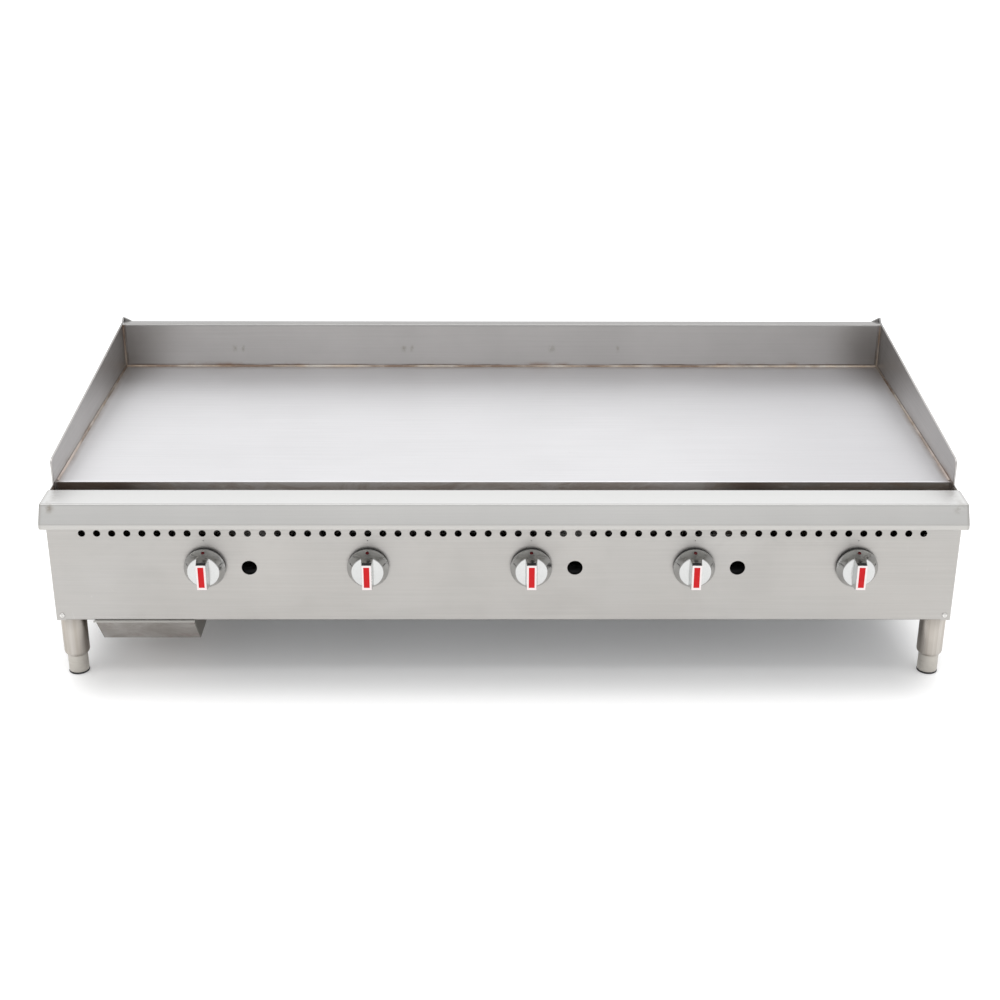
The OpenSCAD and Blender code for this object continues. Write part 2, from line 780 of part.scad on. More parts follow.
module valve_stem(i) {
    color("darkkhaki") on_panel(i) difference() {
        translate([0, 0, -34]) cylinder(r = stem_r, h = 34 + 26);
        translate([-stem_r - 1, stem_flat, 6]) cube([2 * stem_r + 2, stem_r, 30]);
    }
}

// ---------- legs and fasteners ----------

module leg_tubes() {
    cap = 4;
    nut_low = collar_z + 35;
    color("lightgray") for (p = leg_spots) translate([p[0], p[1], 0]) difference() {
        union() {
            rotate_extrude() polygon([
                [0, collar_z], [leg_r - 3, collar_z], [leg_r - 1.5, collar_z + 1.8],
                [leg_r - 0.5, collar_z + 4.6], [leg_r, collar_z + 8.5], [leg_r, body_z], [0, body_z]
            ]);
            translate([0, 0, body_z - eps]) cylinder(r = stud_r, h = 22);
        }
        translate([0, 0, collar_z - 1]) cylinder(r = foot_r + 0.3, h = 17);
        translate([0, 0, collar_z + 15]) cylinder(r = leg_r - 2, h = nut_low - collar_z - 15);
        translate([0, 0, nut_low - 1]) cylinder(r = stud_r + 0.3, h = 12);
        translate([0, 0, nut_low + 10]) cylinder(r = leg_r - 2, h = body_z - cap - nut_low - 10);
    }
}

module foot(i) {
    p = leg_spots[i - 1];
    color("gainsboro") translate([p[0], p[1], 0]) rotate_extrude() polygon([
        [0, 3], [foot_r - 0.6, 3], [foot_r, 3.6], [foot_r, collar_z + 22],
        [foot_r - 1, collar_z + 23], [stud_r, collar_z + 23], [stud_r, 94], [stud_r - 1, 95], [0, 95]
    ]);
}

module foot_pad(i) {
    p = leg_spots[i - 1];
    color("black") translate([p[0], p[1], 0]) rotate_extrude() polygon([
        [0, 0], [foot_r - 0.4, 0], [foot_r + 0.4, 0.8], [foot_r + 0.4, 2.4], [foot_r - 0.2, 3], [0, 3]
    ]);
}

module panel_screw() {
    head_r = 4.6;
    rotate_extrude() polygon([
        [0, 0.05], [head_r, 0.05], [head_r - 0.3, 1.2], [head_r - 1.6, 2.3], [0, 2.7]
    ]);
    translate([0, 0, -3.2]) cylinder(r = screw_r, h = 3.3);
}

module fasteners() {
    color("white") {
        for (s = [-1, 1]) {
            translate([s * (side_x - screw_inset), panel_y, body_z + screw_rise])
                rotate([90, 0, 0]) panel_screw();
            for (z = rear_screw_z)
                translate([s * (side_x - screw_inset), rear_panel_y + sheet_t, z])
                    rotate([-90, 0, 0]) panel_screw();
        }
        for (p = leg_spots) translate([p[0], p[1], floor_top]) difference() {
            cylinder(r = 13.5, h = 10, $fn = 6);
            translate([0, 0, -1]) cylinder(r = stud_r + run_gap, h = 12);
        }
    }
}

// ---------- nodes ----------

front_panel();
front_rail();
side_panel(-1);  // side_panel_left
side_panel(1);  // side_panel_right
rear_panel();
bottom_panel();
griddle_plate();
side_splash(-1);  // splash_left
side_splash(1);  // splash_right
back_splash();  // splash_back
weld_beads();
grease_trough();
grease_chute();
plate_frame();
heat_shield();
burner_supports();
manifold_pipe();
supply_elbow();
supply_pipe();
gas_valves();
orifices();
pilot_valves();
pilot_tubes();
tray_rails();
leg_tubes();
fasteners();
grease_tray();
for (i = burners) {
    burner(i);
    air_shutter(i);
    valve_stem(i);
    knob(i);
    knob_marks(i);
}
for (i = corners) {
    foot(i);
    foot_pad(i);
}
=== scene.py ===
import math
import random

import bmesh
import bpy
from mathutils import Matrix, Vector


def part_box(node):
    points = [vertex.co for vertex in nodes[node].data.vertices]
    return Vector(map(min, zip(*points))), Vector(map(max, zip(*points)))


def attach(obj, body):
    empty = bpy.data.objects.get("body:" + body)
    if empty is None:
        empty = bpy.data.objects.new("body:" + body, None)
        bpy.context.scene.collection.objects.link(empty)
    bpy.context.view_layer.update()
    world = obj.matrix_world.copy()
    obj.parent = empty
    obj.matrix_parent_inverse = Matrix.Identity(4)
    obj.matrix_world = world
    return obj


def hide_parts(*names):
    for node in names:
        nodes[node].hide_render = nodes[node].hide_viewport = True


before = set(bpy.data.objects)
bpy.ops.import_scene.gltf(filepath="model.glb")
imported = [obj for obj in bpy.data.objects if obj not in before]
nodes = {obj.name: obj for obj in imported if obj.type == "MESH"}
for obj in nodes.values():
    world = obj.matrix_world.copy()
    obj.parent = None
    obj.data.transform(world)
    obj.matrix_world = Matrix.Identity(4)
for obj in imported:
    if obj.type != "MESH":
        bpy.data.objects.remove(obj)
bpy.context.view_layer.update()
MM = 0.001


# ---------------------------------------------------------------- node helpers

class Graph:
    """A material's node tree, with short calls for the nodes used here."""

    def __init__(self, name):
        self.mat = bpy.data.materials.new(name)
        self.mat.use_nodes = True
        self.tree = self.mat.node_tree
        self.bsdf = next(n for n in self.tree.nodes if n.type == "BSDF_PRINCIPLED")
        coord = self.tree.nodes.new("ShaderNodeTexCoord")
        self.place = coord.outputs["Object"]

    def put(self, socket, value):
        if isinstance(value, bpy.types.NodeSocket):
            self.tree.links.new(value, socket)
        elif socket.type == "RGBA" and len(value) == 3:
            socket.default_value = (*value, 1.0)
        else:
            socket.default_value = value

    def node(self, kind, inputs=None, **props):
        made = self.tree.nodes.new(kind)
        for key, value in props.items():
            setattr(made, key, value)
        for key, value in (inputs or {}).items():
            self.put(made.inputs[key], value)
        return made

    def math(self, how, a, b=0.0):
        made = self.node("ShaderNodeMath", operation=how)
        self.put(made.inputs[0], a)
        self.put(made.inputs[1], b)
        return made.outputs[0]

    def times(self, a, b):
        return self.math("MULTIPLY", a, b)

    def spread(self, value, low, high, out_low=0.0, out_high=1.0, smooth=False):
        made = self.node("ShaderNodeMapRange", interpolation_type="SMOOTHSTEP" if smooth else "LINEAR")
        self.put(made.inputs["Value"], value)
        for key, v in (("From Min", low), ("From Max", high), ("To Min", out_low), ("To Max", out_high)):
            self.put(made.inputs[key], v)
        return made.outputs["Result"]

    def mix(self, factor, a, b, how="MIX"):
        made = self.node("ShaderNodeMix", data_type="RGBA", blend_type=how, clamp_factor=True)
        self.put(made.inputs["Factor"], factor)
        self.put(made.inputs[6], a)
        self.put(made.inputs[7], b)
        return made.outputs[2]

    def noise(self, scale, detail=4.0, rough=0.55, stretch=None, shift=(0, 0, 0), warp=0.0):
        where = self.place
        if stretch or any(shift):
            where = self.node("ShaderNodeMapping", {"Vector": where, "Scale": stretch or (1, 1, 1),
                                                    "Location": shift}).outputs[0]
        made = self.node("ShaderNodeTexNoise", {"Vector": where, "Scale": scale, "Detail": detail,
                                                "Roughness": rough, "Distortion": warp})
        return made.outputs["Fac"]

    def xyz(self):
        made = self.node("ShaderNodeSeparateXYZ", {"Vector": self.place})
        return made.outputs[0], made.outputs[1], made.outputs[2]

    def bump(self, height, distance, strength=1.0, normal=None):
        made = self.node("ShaderNodeBump", {"Height": height, "Distance": distance, "Strength": strength})
        if normal is not None:
            self.put(made.inputs["Normal"], normal)
        return made.outputs[0]

    def near(self, value, at, width):
        """1 at a coordinate value, falling to 0 within width of it."""
        away = self.math("ABSOLUTE", self.math("SUBTRACT", value, at))
        return self.spread(away, 0.0, width, 1.0, 0.0, smooth=True)


def steel(name, base, rough=0.35, grain=(6, 500, 500), grain_rough=0.08, grain_bump=0.25, cloud=0.05,
          wave=0.0, smudge=0.0, metallic=1.0, tone=None):
    """Worked metal: a stretched grain in roughness and bump, cloudy tone, slight waves and smudges."""
    g = Graph(name)
    fine = g.noise(1.0, 3.0, 0.6, stretch=grain)
    clouds = g.noise(5.0, 3.0, 0.5, shift=(3.1, 1.7, 0.4))
    dark = tuple(c * (1 - cloud * 1.3) for c in base)
    light = tuple(min(1.0, c * (1 + cloud)) for c in base)
    colour = g.mix(g.spread(clouds, 0.3, 0.7), dark, light)
    colour = g.mix(g.spread(fine, 0.25, 0.75, 0.0, 0.18), colour, tuple(c * 0.72 for c in base))
    r = g.spread(fine, 0.25, 0.75, rough - grain_rough, rough + grain_rough)
    if smudge:
        smears = g.spread(g.noise(9.0, 5.0, 0.6, shift=(0.3, 5.5, 2.2), warp=0.6), 0.52, 0.72)
        r = g.math("ADD", r, g.times(smears, smudge))
        colour = g.mix(g.times(smears, smudge * 1.2), colour, tuple(c * 0.8 for c in base))
    if tone:
        colour, r = tone(g, colour, r)
    normal = g.bump(fine, 0.00006, grain_bump)
    if wave:
        normal = g.bump(g.noise(4.0, 1.0, 0.4, shift=(9, 2, 5)), wave, 1.0, normal)
    g.put(g.bsdf.inputs["Base Color"], colour)
    g.put(g.bsdf.inputs["Roughness"], r)
    g.put(g.bsdf.inputs["Metallic"], metallic)
    g.put(g.bsdf.inputs["Normal"], normal)
    return g.mat


# ---------------------------------------------------------------- mesh helpers

def mesh_piece(name, verts, faces, mats, smooth=True, angle=35):
    mesh = bpy.data.meshes.new(name)
    mesh.from_pydata([tuple(v) for v in verts], [], faces)
    for m in (mats if isinstance(mats, (list, tuple)) else [mats]):
        mesh.materials.append(m)
    bm = bmesh.new()
    bm.from_mesh(mesh)
    bmesh.ops.recalc_face_normals(bm, faces=bm.faces)
    bm.to_mesh(mesh)
    bm.free()
    made = bpy.data.objects.new(name, mesh)
    bpy.context.scene.collection.objects.link(made)
    if smooth:
        soften(made, angle)
    return made


def soften(obj, angle=35):
    """Smooth shading with sharp edges kept above an angle."""
    mesh = obj.data
    bm = bmesh.new()
    bm.from_mesh(mesh)
    limit = math.radians(angle)
    for f in bm.faces:
        f.smooth = True
    for e in bm.edges:
        e.smooth = len(e.link_faces) == 2 and e.calc_face_angle(math.pi) < limit
    bm.to_mesh(mesh)
    bm.free()


def bevel(obj, width, segments=2, angle=40):
    made = obj.modifiers.new("edge", "BEVEL")
    made.width = width
    made.segments = segments
    made.limit_method = "ANGLE"
    made.angle_limit = math.radians(angle)
    made.harden_normals = False
    made.use_clamp_overlap = True
    return obj


def lathe(name, profile, base, axis, mats, segments=96, angle=35):
    """Turns (radius, height) points about an axis through base. Radius 0 closes an end."""
    z = Vector(axis).normalized()
    x = z.orthogonal().normalized()
    y = z.cross(x)
    verts, rings = [], []
    for radius, height in profile:
        if radius <= 1e-9:
            rings.append([len(verts)])
            verts.append(base + z * height)
            continue
        rings.append(list(range(len(verts), len(verts) + segments)))
        for k in range(segments):
            a = 2 * math.pi * k / segments
            verts.append(base + (x * math.cos(a) + y * math.sin(a)) * radius + z * height)
    faces = []
    for i in range(len(rings) - 1):
        a, b = rings[i], rings[i + 1]
        if len(a) == 1 and len(b) == 1:
            continue
        for k in range(segments):
            n = (k + 1) % segments
            if len(a) == 1:
                faces.append((a[0], b[k], b[n]))
            elif len(b) == 1:
                faces.append((a[k], a[n], b[0]))
            else:
                faces.append((a[k], a[n], b[n], b[k]))
    return mesh_piece(name, verts, faces, mats, angle=angle)


def loft(name, sections, mats, angle=35):
    """Joins closed sections with the same number of points, and caps both ends."""
    n = len(sections[0])
    verts = [p for s in sections for p in s]
    faces = []
    for i in range(len(sections) - 1):
        for k in range(n):
            m = (k + 1) % n
            faces.append((i * n + k, i * n + m, (i + 1) * n + m, (i + 1) * n + k))
    faces.append(tuple(range(n)))
    faces.append(tuple(range((len(sections) - 1) * n, len(sections) * n)))
    return mesh_piece(name, verts, faces, mats, angle=angle)


def along_x(outline, x0, x1, steps=1):
    """Equal sections of a Y-Z outline from x0 to x1."""
    return [[Vector((x0 + (x1 - x0) * k / steps, y, z)) for y, z in outline]
            for k in range(steps + 1)]


def paint(obj, choose):
    """Gives each face the material slot that choose(normal, centre) says."""
    for p in obj.data.polygons:
        p.material_index = choose(p.normal, p.center)


def arc(cx, cy, r, a0, a1, steps):
    return [(cx + r * math.cos(math.radians(a0 + (a1 - a0) * i / steps)),
             cy + r * math.sin(math.radians(a0 + (a1 - a0) * i / steps))) for i in range(steps + 1)]


def settle(obj, body, slot, *replaced):
    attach(obj, body)
    if replaced:
        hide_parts(*replaced)
    return obj


def dress(node, *mats):
    """Gives a CAD node its finished materials."""
    mesh = nodes[node].data
    mesh.materials.clear()
    for m in mats:
        mesh.materials.append(m)


# ---------------------------------------------------------------- places, from the frame

plate_lo, plate_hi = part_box("griddle_plate")
rail_lo, rail_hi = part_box("front_rail")
panel_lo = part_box("front_panel")[0]
back_lo, back_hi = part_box("splash_back")
guard_in = plate_lo.x - 0.0001           # inner face of the left guard
plate_z = plate_hi.z
panel_y = panel_lo.y
body_z = panel_lo.z
leg_x = abs(sum(v.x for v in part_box("foot_1")) / 2)
BURNERS = range(1, 6)
CORNERS = range(1, 5)


# ---------------------------------------------------------------- materials

def panel_tone(g, colour, r):
    """Faint rubbed patches and a few fine pale scratches near the left end."""
    x, y, z = g.xyz()
    rub = g.spread(g.noise(3.2, 4, 0.6, shift=(7, 7, 3)), 0.42, 0.66)
    colour = g.mix(g.times(rub, 0.14), colour, (0.56, 0.57, 0.575))
    scratch = g.spread(g.noise(1.0, 4, 0.7, stretch=(60, 60, 18), shift=(2, 4, 8), warp=1.5), 0.66, 0.72)
    ends = g.spread(g.math("ABSOLUTE", x), 0.52, 0.72, 0.0, 1.0, smooth=True)
    colour = g.mix(g.times(g.times(scratch, ends), 0.22), colour, (0.66, 0.65, 0.64))
    return colour, g.math("ADD", r, g.times(rub, 0.04))


def rail_tone(g, colour, r):
    """Painted highlight on the flat top, painted shade on the front bend and on the low strip of the face,
    brown-grey smudges at the ends of the face, and darker towards the very ends.
    """
    x, y, z = g.xyz()
    top = rail_hi.z
    # Painted highlight: the flat top is lighter, as if lit from above
    flat = g.spread(z, top - 0.0015, top - 0.0003)
    colour = g.mix(flat, colour, (0.645, 0.645, 0.64))
    # Painted shade on the bend between the top and the face
    bend_shade = g.times(g.near(y, rail_lo.y + 0.0205, 0.0042), g.spread(z, top - 0.005, top - 0.002))
    colour = g.mix(g.times(bend_shade, 0.75), colour, (0.36, 0.36, 0.35))
    # Painted shade: the low strip of the face is darker
    band = g.spread(z, rail_lo.z + 0.012, rail_lo.z + 0.008)
    colour = g.mix(g.times(band, 0.9), colour, (0.485, 0.475, 0.455))
    side = g.math("ABSOLUTE", x)
    spot = g.times(g.near(side, rail_hi.x - 0.016, 0.013), g.near(z, top - 0.006, 0.010))
    dirt = g.spread(g.noise(75, 4, 0.6), 0.38, 0.66)
    mask = g.times(spot, dirt)
    colour = g.mix(g.times(mask, 0.9), colour, (0.26, 0.235, 0.20))
    # Darker towards the very ends of the rail
    edge = g.spread(side, rail_hi.x - 0.006, rail_hi.x - 0.001, 0.0, 0.45)
    colour = g.mix(edge, colour, (0.30, 0.285, 0.265))
    return colour, g.math("ADD", r, g.times(mask, 0.15))


def guard_tone(g, colour, r):
    """Painted shade towards the back corners and on the back guard's top flange and its bend, stained beside
    the welds, with a few heat spots on the back.
    """
    x, y, z = g.xyz()
    side = g.math("ABSOLUTE", x)
    # Painted shade: darker towards the back corners, broken up by a cloud
    rear = g.spread(y, plate_hi.y - 0.30, plate_hi.y, 0.0, 1.0, smooth=True)
    corner = g.spread(side, plate_hi.x - 0.12, plate_hi.x - 0.01, 0.0, 1.0, smooth=True)
    cloud = g.spread(g.noise(9, 4, 0.6, shift=(2, 2, 6)), 0.25, 0.75, 0.6, 1.0)
    dark = g.times(g.times(rear, corner), cloud)
    dark = g.times(dark, g.spread(y, back_hi.y - 0.0005, back_hi.y - 0.004))
    colour = g.mix(g.times(dark, 0.58), colour, (0.145, 0.13, 0.12))
    # Painted shade: the top flange is darker
    flange = g.spread(z, back_hi.z - 0.0030, back_hi.z - 0.0004)
    colour = g.mix(flange, colour, (0.36, 0.355, 0.35))
    # Painted shade on the bend at the top of the back guard
    bend_shade = g.times(g.near(y, back_lo.y + 0.001, 0.0035),
                   g.spread(z, back_hi.z - 0.006, back_hi.z - 0.003))
    colour = g.mix(g.times(bend_shade, 0.6), colour, (0.24, 0.24, 0.235))
    # Brown toe lines along the welds
    patch = g.spread(g.noise(14, 4, 0.6, shift=(1, 2, 3)), 0.36, 0.62, 0.25, 1.0)
    toe = g.near(z, plate_z + 0.0042, 0.0022)
    wall = g.near(side, plate_hi.x - 0.0042, 0.003)
    wall = g.times(wall, g.spread(y, plate_hi.y - 0.008, plate_hi.y - 0.001))
    # Only the faces that look in over the plate carry these marks
    inward = g.times(g.spread(side, plate_hi.x + 0.0016, plate_hi.x + 0.0008),
                     g.spread(y, back_lo.y + 0.0016, back_lo.y + 0.0008))
    line = g.times(g.math("MAXIMUM", toe, wall), inward)
    colour = g.mix(g.times(line, g.times(patch, 0.85)), colour, (0.10, 0.062, 0.042))
    creep = g.times(inward, g.spread(z, plate_z + 0.003, plate_z + 0.013, 1.0, 0.0, smooth=True))
    stain = g.spread(g.noise(10, 5, 0.65, shift=(6, 2, 3)), 0.54, 0.68)
    colour = g.mix(g.times(g.times(creep, stain), 0.7), colour, (0.24, 0.145, 0.095))
    # Small burnt spots on the back guard
    for at, size in ((-0.536, 0.007), (-0.519, 0.005), (-0.197, 0.008), (-0.181, 0.005), (0.10, 0.010),
                     (0.232, 0.005)):
        spot = g.times(g.near(x, at, size), g.near(z, plate_z + 0.038, 0.011))
        spot = g.times(spot, inward)
        rough_edge = g.spread(g.noise(160, 4, 0.7, shift=(3, 9, 1)), 0.38, 0.6)
        spot = g.times(spot, g.times(rough_edge, 0.5))
        colour = g.mix(spot, colour, (0.20, 0.17, 0.12))
    return colour, g.math("ADD", r, g.times(line, 0.12))


def plate_tone(g, colour, r):
    """Ground face with faint cloudy marks, brown beside the welds, and painted shade in the back corners
    where the guards are reflected.
    """
    x, y, z = g.xyz()
    off = g.math("ABSOLUTE", x)
    side = g.spread(off, plate_hi.x - 0.014, plate_hi.x - 0.003, 0.0, 1.0, smooth=True)
    rear = g.spread(y, plate_hi.y - 0.022, plate_hi.y - 0.003, 0.0, 1.0, smooth=True)
    # Painted shade and reflection: the guards darken the back corners
    back_corner_shade = g.times(g.spread(off, plate_hi.x - 0.10, plate_hi.x, 0.0, 1.0, smooth=True),
                          g.spread(y, plate_hi.y - 0.22, plate_hi.y, 0.0, 1.0, smooth=True))
    # Darker and slightly bluer towards the right end
    colour = g.mix(g.spread(x, 0.15, 0.75, 0.0, 0.5, smooth=True), colour, (0.50, 0.495, 0.51))
    edge = g.math("MAXIMUM", side, rear)
    patch = g.spread(g.noise(11, 4, 0.62, shift=(4, 4, 1)), 0.36, 0.62, 0.25, 1.0)
    tint = g.times(edge, patch)
    marks = g.spread(g.noise(24, 6, 0.7, shift=(2, 8, 0), warp=1.2), 0.64, 0.76)
    colour = g.mix(g.times(marks, 0.08), colour, (0.45, 0.44, 0.43))
    colour = g.mix(g.times(back_corner_shade, 0.45), colour, (0.24, 0.215, 0.20))
    colour = g.mix(g.times(tint, 0.55), colour, (0.30, 0.24, 0.20))
    r = g.math("ADD", r, g.times(marks, 0.08))
    return colour, g.math("ADD", r, g.times(tint, 0.12))


def raw_tone(g, colour, r):
    """Raw cut plate edge: mill scale, rust and grease runs, cleaner in the middle of the front."""
    x, y, z = g.xyz()
    rust = g.spread(g.noise(9, 6, 0.7, stretch=(1, 1, 3), shift=(0, 0, 4), warp=0.8), 0.45, 0.62)
    pale = g.spread(g.noise(16, 5, 0.65, stretch=(0.6, 1, 2.5), shift=(7, 0, 1)), 0.55, 0.72)
    middle = g.spread(g.math("ABSOLUTE", g.math("ADD", x, 0.08)), 0.30, 0.66, 1.0, 0.0, smooth=True)
    colour = g.mix(middle, colour, (0.50, 0.475, 0.46))
    colour = g.mix(g.times(rust, 0.45), colour, (0.22, 0.15, 0.10))
    colour = g.mix(g.times(pale, 0.6), colour, (0.62, 0.59, 0.56))
    ends = g.spread(x, -0.56, -0.66, 0.0, 0.75, smooth=True)
    ends = g.math("MAXIMUM", ends, g.times(g.near(x, 0.42, 0.10), 0.75))
    colour = g.mix(ends, colour, (0.10, 0.062, 0.042))
    return colour, g.math("ADD", r, g.times(rust, 0.2))


def tray_tone(g, colour, r):
    """Heat-blued, greasy sheet."""
    stain = g.spread(g.noise(13, 5, 0.65, warp=0.7), 0.42, 0.66)
    blush = g.spread(g.noise(30, 4, 0.6, shift=(5, 3, 1)), 0.56, 0.70)
    colour = g.mix(g.times(stain, 0.55), colour, (0.25, 0.215, 0.185))
    colour = g.mix(g.times(blush, 0.5), colour, (0.33, 0.24, 0.22))
    return colour, r


def leg_tone(g, colour, r):
    """Vertical polishing bands, and painted shade down the inner side of each leg, where it reflects the
    shadow under the body.
    """
    x, y, z = g.xyz()
    bands = g.noise(1.0, 3.0, 0.6, stretch=(95, 95, 1.2), shift=(4, 1, 2))
    colour = g.mix(g.spread(bands, 0.40, 0.62, 0.0, 0.55), colour, (0.33, 0.29, 0.245))
    # Painted shade: the inner side reflects the shadow under the body
    inner = g.spread(g.math("ABSOLUTE", x), leg_x - 0.0215, leg_x - 0.006, 1.0, 0.0, smooth=True)
    colour = g.mix(g.times(inner, 0.6), colour, (0.13, 0.105, 0.085))
    return colour, r


def spangle(name, base, rough, scale):
    """Zinc coat with its crystal flakes."""
    g = Graph(name)
    cell = g.node("ShaderNodeTexVoronoi", {"Vector": g.place, "Scale": scale}).outputs["Color"]
    value = g.node("ShaderNodeSeparateColor", {"Color": cell}).outputs[0]
    cloudy = g.noise(6.0, 4.0, 0.6)
    colour = g.mix(g.spread(value, 0, 1, 0.0, 0.3), base, tuple(c * 0.84 for c in base))
    colour = g.mix(g.spread(cloudy, 0.35, 0.7, 0.0, 0.4), colour, tuple(c * 0.78 for c in base))
    g.put(g.bsdf.inputs["Base Color"], colour)
    g.put(g.bsdf.inputs["Roughness"], g.spread(value, 0, 1, rough - 0.04, rough + 0.05))
    g.put(g.bsdf.inputs["Metallic"], 0.9)
    g.put(g.bsdf.inputs["Normal"], g.bump(value, 0.00001, 0.3, g.bump(cloudy, 0.0015, 0.3)))
    return g.mat


def coated(name, base, rough, grain=300.0, bump=0.00015, spots=(0.5, 0.7), spot=None, metallic=0.0,
           shine=0.5):
    """Paint, scale, plastic or rubber: fine bump and a second tone in patches."""
    g = Graph(name)
    fine = g.noise(grain, 3.0, 0.6)
    patch = g.spread(g.noise(grain / 12, 5.0, 0.6, shift=(2, 1, 7)), *spots)
    colour = g.mix(g.times(patch, 0.6), base, spot or tuple(c * 1.6 for c in base))
    g.put(g.bsdf.inputs["Base Color"], colour)
    g.put(g.bsdf.inputs["Roughness"], g.spread(fine, 0.3, 0.7, rough - 0.06, rough + 0.08))
    g.put(g.bsdf.inputs["Metallic"], metallic)
    g.put(g.bsdf.inputs["Specular IOR Level"], shine)
    g.put(g.bsdf.inputs["Normal"], g.bump(fine, bump, 0.6))
    return g.mat


M_PANEL = steel("satin_steel", (0.452, 0.438, 0.420), 0.42, (5, 420, 420), 0.04, 0.12, 0.035,
                wave=0.0012, smudge=0.05, tone=panel_tone)
M_RAIL = steel("rail_steel", (0.545, 0.540, 0.528), 0.38, (5, 420, 420), 0.05, 0.16, 0.03,
               wave=0.0010, smudge=0.05, tone=rail_tone)
M_SIDE = steel("side_steel", (0.460, 0.446, 0.430), 0.42, (420, 5, 420), 0.05, 0.16, 0.035, wave=0.0012,
               smudge=0.06)
M_TOP = steel("polished_plate", (0.665, 0.662, 0.675), 0.46, (4, 260, 260), 0.03, 0.04, 0.02,
              wave=0.0004, smudge=0.02, tone=plate_tone)
M_RAW = steel("raw_edge", (0.27, 0.245, 0.22), 0.62, (30, 60, 160), 0.10, 0.9, 0.25, metallic=0.6,
              tone=raw_tone)
M_GUARD = steel("guard_steel", (0.50, 0.485, 0.475), 0.38, (5, 420, 420), 0.05, 0.16, 0.06,
                wave=0.0010, smudge=0.06, tone=guard_tone)
M_GUARD_SIDE = steel("guard_side_steel", (0.50, 0.485, 0.475), 0.38, (420, 5, 420), 0.05, 0.16, 0.06,
                     wave=0.0010, smudge=0.06, tone=guard_tone)
M_TROUGH = steel("trough_steel", (0.20, 0.18, 0.165), 0.5, (8, 120, 120), 0.1, 0.5, 0.2, tone=raw_tone)
M_TRAY = steel("tray_steel", (0.58, 0.555, 0.53), 0.42, (5, 300, 300), 0.08, 0.3, 0.1, smudge=0.12,
               tone=tray_tone)
# Painted shade: a darker copy of the tray steel for the side walls
M_TRAY_SIDE_SHADED = steel("tray_side_shaded", (0.30, 0.29, 0.265), 0.5, (300, 5, 300), 0.08, 0.3, 0.1, smudge=0.12,
                    tone=tray_tone)
M_LIP = steel("tray_lip", (0.47, 0.462, 0.435), 0.5, (5, 300, 300), 0.06, 0.2, 0.06, metallic=0.35)
M_LEG = steel("leg_steel", (0.52, 0.49, 0.455), 0.33, (150, 150, 3), 0.08, 0.3, 0.08, smudge=0.08,
              tone=leg_tone)
M_FOOT = steel("foot_steel", (0.50, 0.475, 0.435), 0.34, (12, 12, 900), 0.08, 0.3, 0.05)
M_SCREW = steel("screw_steel", (0.72, 0.71, 0.69), 0.28, (200, 200, 200), 0.06, 0.2, 0.05)
M_CHROME = steel("knob_chrome", (0.575, 0.58, 0.575), 0.16, (260, 260, 260), 0.04, 0.05, 0.03,
                 smudge=0.05)
M_STEM = steel("stem_steel", (0.55, 0.53, 0.46), 0.35, (300, 30, 300), 0.06, 0.3, 0.06)
M_BRASS = steel("brass", (0.72, 0.52, 0.22), 0.34, (120, 120, 120), 0.07, 0.25, 0.1, smudge=0.1)
M_TUBE = steel("pilot_tube", (0.68, 0.68, 0.68), 0.35, (60, 60, 60), 0.06, 0.2, 0.06)
M_BURNER = steel("burner_steel", (0.38, 0.37, 0.37), 0.5, (90, 20, 90), 0.08, 0.4, 0.15, smudge=0.1)
M_ALUM = spangle("aluminised", (0.55, 0.55, 0.54), 0.45, 420.0)
M_ZINC = spangle("zinc_sheet", (0.47, 0.48, 0.49), 0.44, 210.0)
M_PIPE = coated("black_pipe", (0.035, 0.035, 0.038), 0.48, 260.0, 0.0002, metallic=0.35,
                spot=(0.075, 0.065, 0.06))
M_FRAME = coated("mill_scale", (0.06, 0.058, 0.06), 0.55, 180.0, 0.0002, metallic=0.5,
                 spot=(0.12, 0.075, 0.05))
M_RUBBER = coated("pad_rubber", (0.018, 0.018, 0.019), 0.7, 500.0, 0.0001)
# Black plastic for the knob core and bar ends, which stand in for shade: painted shade
M_BLACK_SHADE = coated("knob_black_shade", (0.016, 0.016, 0.017), 0.45, 600.0, 0.00005)
M_RED = coated("pointer_red", (0.56, 0.008, 0.012), 0.42, 500.0, 0.00004, spot=(0.44, 0.006, 0.009),
               shine=0.18)
M_WHITE = coated("pointer_white", (0.84, 0.76, 0.755), 0.4, 500.0, 0.00004, spot=(0.80, 0.74, 0.73),
                 shine=0.3)
M_DOT = coated("dot_red", (0.09, 0.006, 0.008), 0.5, 500.0, 0.00004, spot=(0.14, 0.008, 0.01),
               shine=0.15)
M_TICK = coated("tick_grey", (0.06, 0.06, 0.06), 0.5, 500.0, 0.00004)


def weld_material():
    """Rippled bead, dull silver on its crown, with straw to brown heat tint in patches."""
    g = Graph("weld_metal")
    x, y, z = g.xyz()
    grain = g.noise(400, 4, 0.6)
    heat = g.spread(g.noise(8, 5, 0.65, shift=(5, 0, 2)), 0.40, 0.60)
    front = g.spread(y, plate_lo.y + 0.05, plate_hi.y - 0.15, 0.0, 1.0)
    heat = g.times(heat, g.spread(front, 0.0, 1.0, 0.45, 1.0))
    straw = g.spread(g.noise(26, 3, 0.5, shift=(0, 3, 8)), 0.45, 0.65)
    colour = g.mix(front, (0.60, 0.53, 0.49), (0.36, 0.335, 0.30))
    colour = g.mix(g.times(straw, 0.5), colour, (0.34, 0.25, 0.17))
    colour = g.mix(g.times(heat, 0.85), colour, (0.12, 0.075, 0.05))
    g.put(g.bsdf.inputs["Base Color"], colour)
    g.put(g.bsdf.inputs["Roughness"], g.spread(grain, 0.3, 0.7, 0.36, 0.56))
    g.put(g.bsdf.inputs["Metallic"], 0.95)
    g.put(g.bsdf.inputs["Normal"], g.bump(grain, 0.0002, 0.5))
    return g.mat


M_WELD = weld_material()

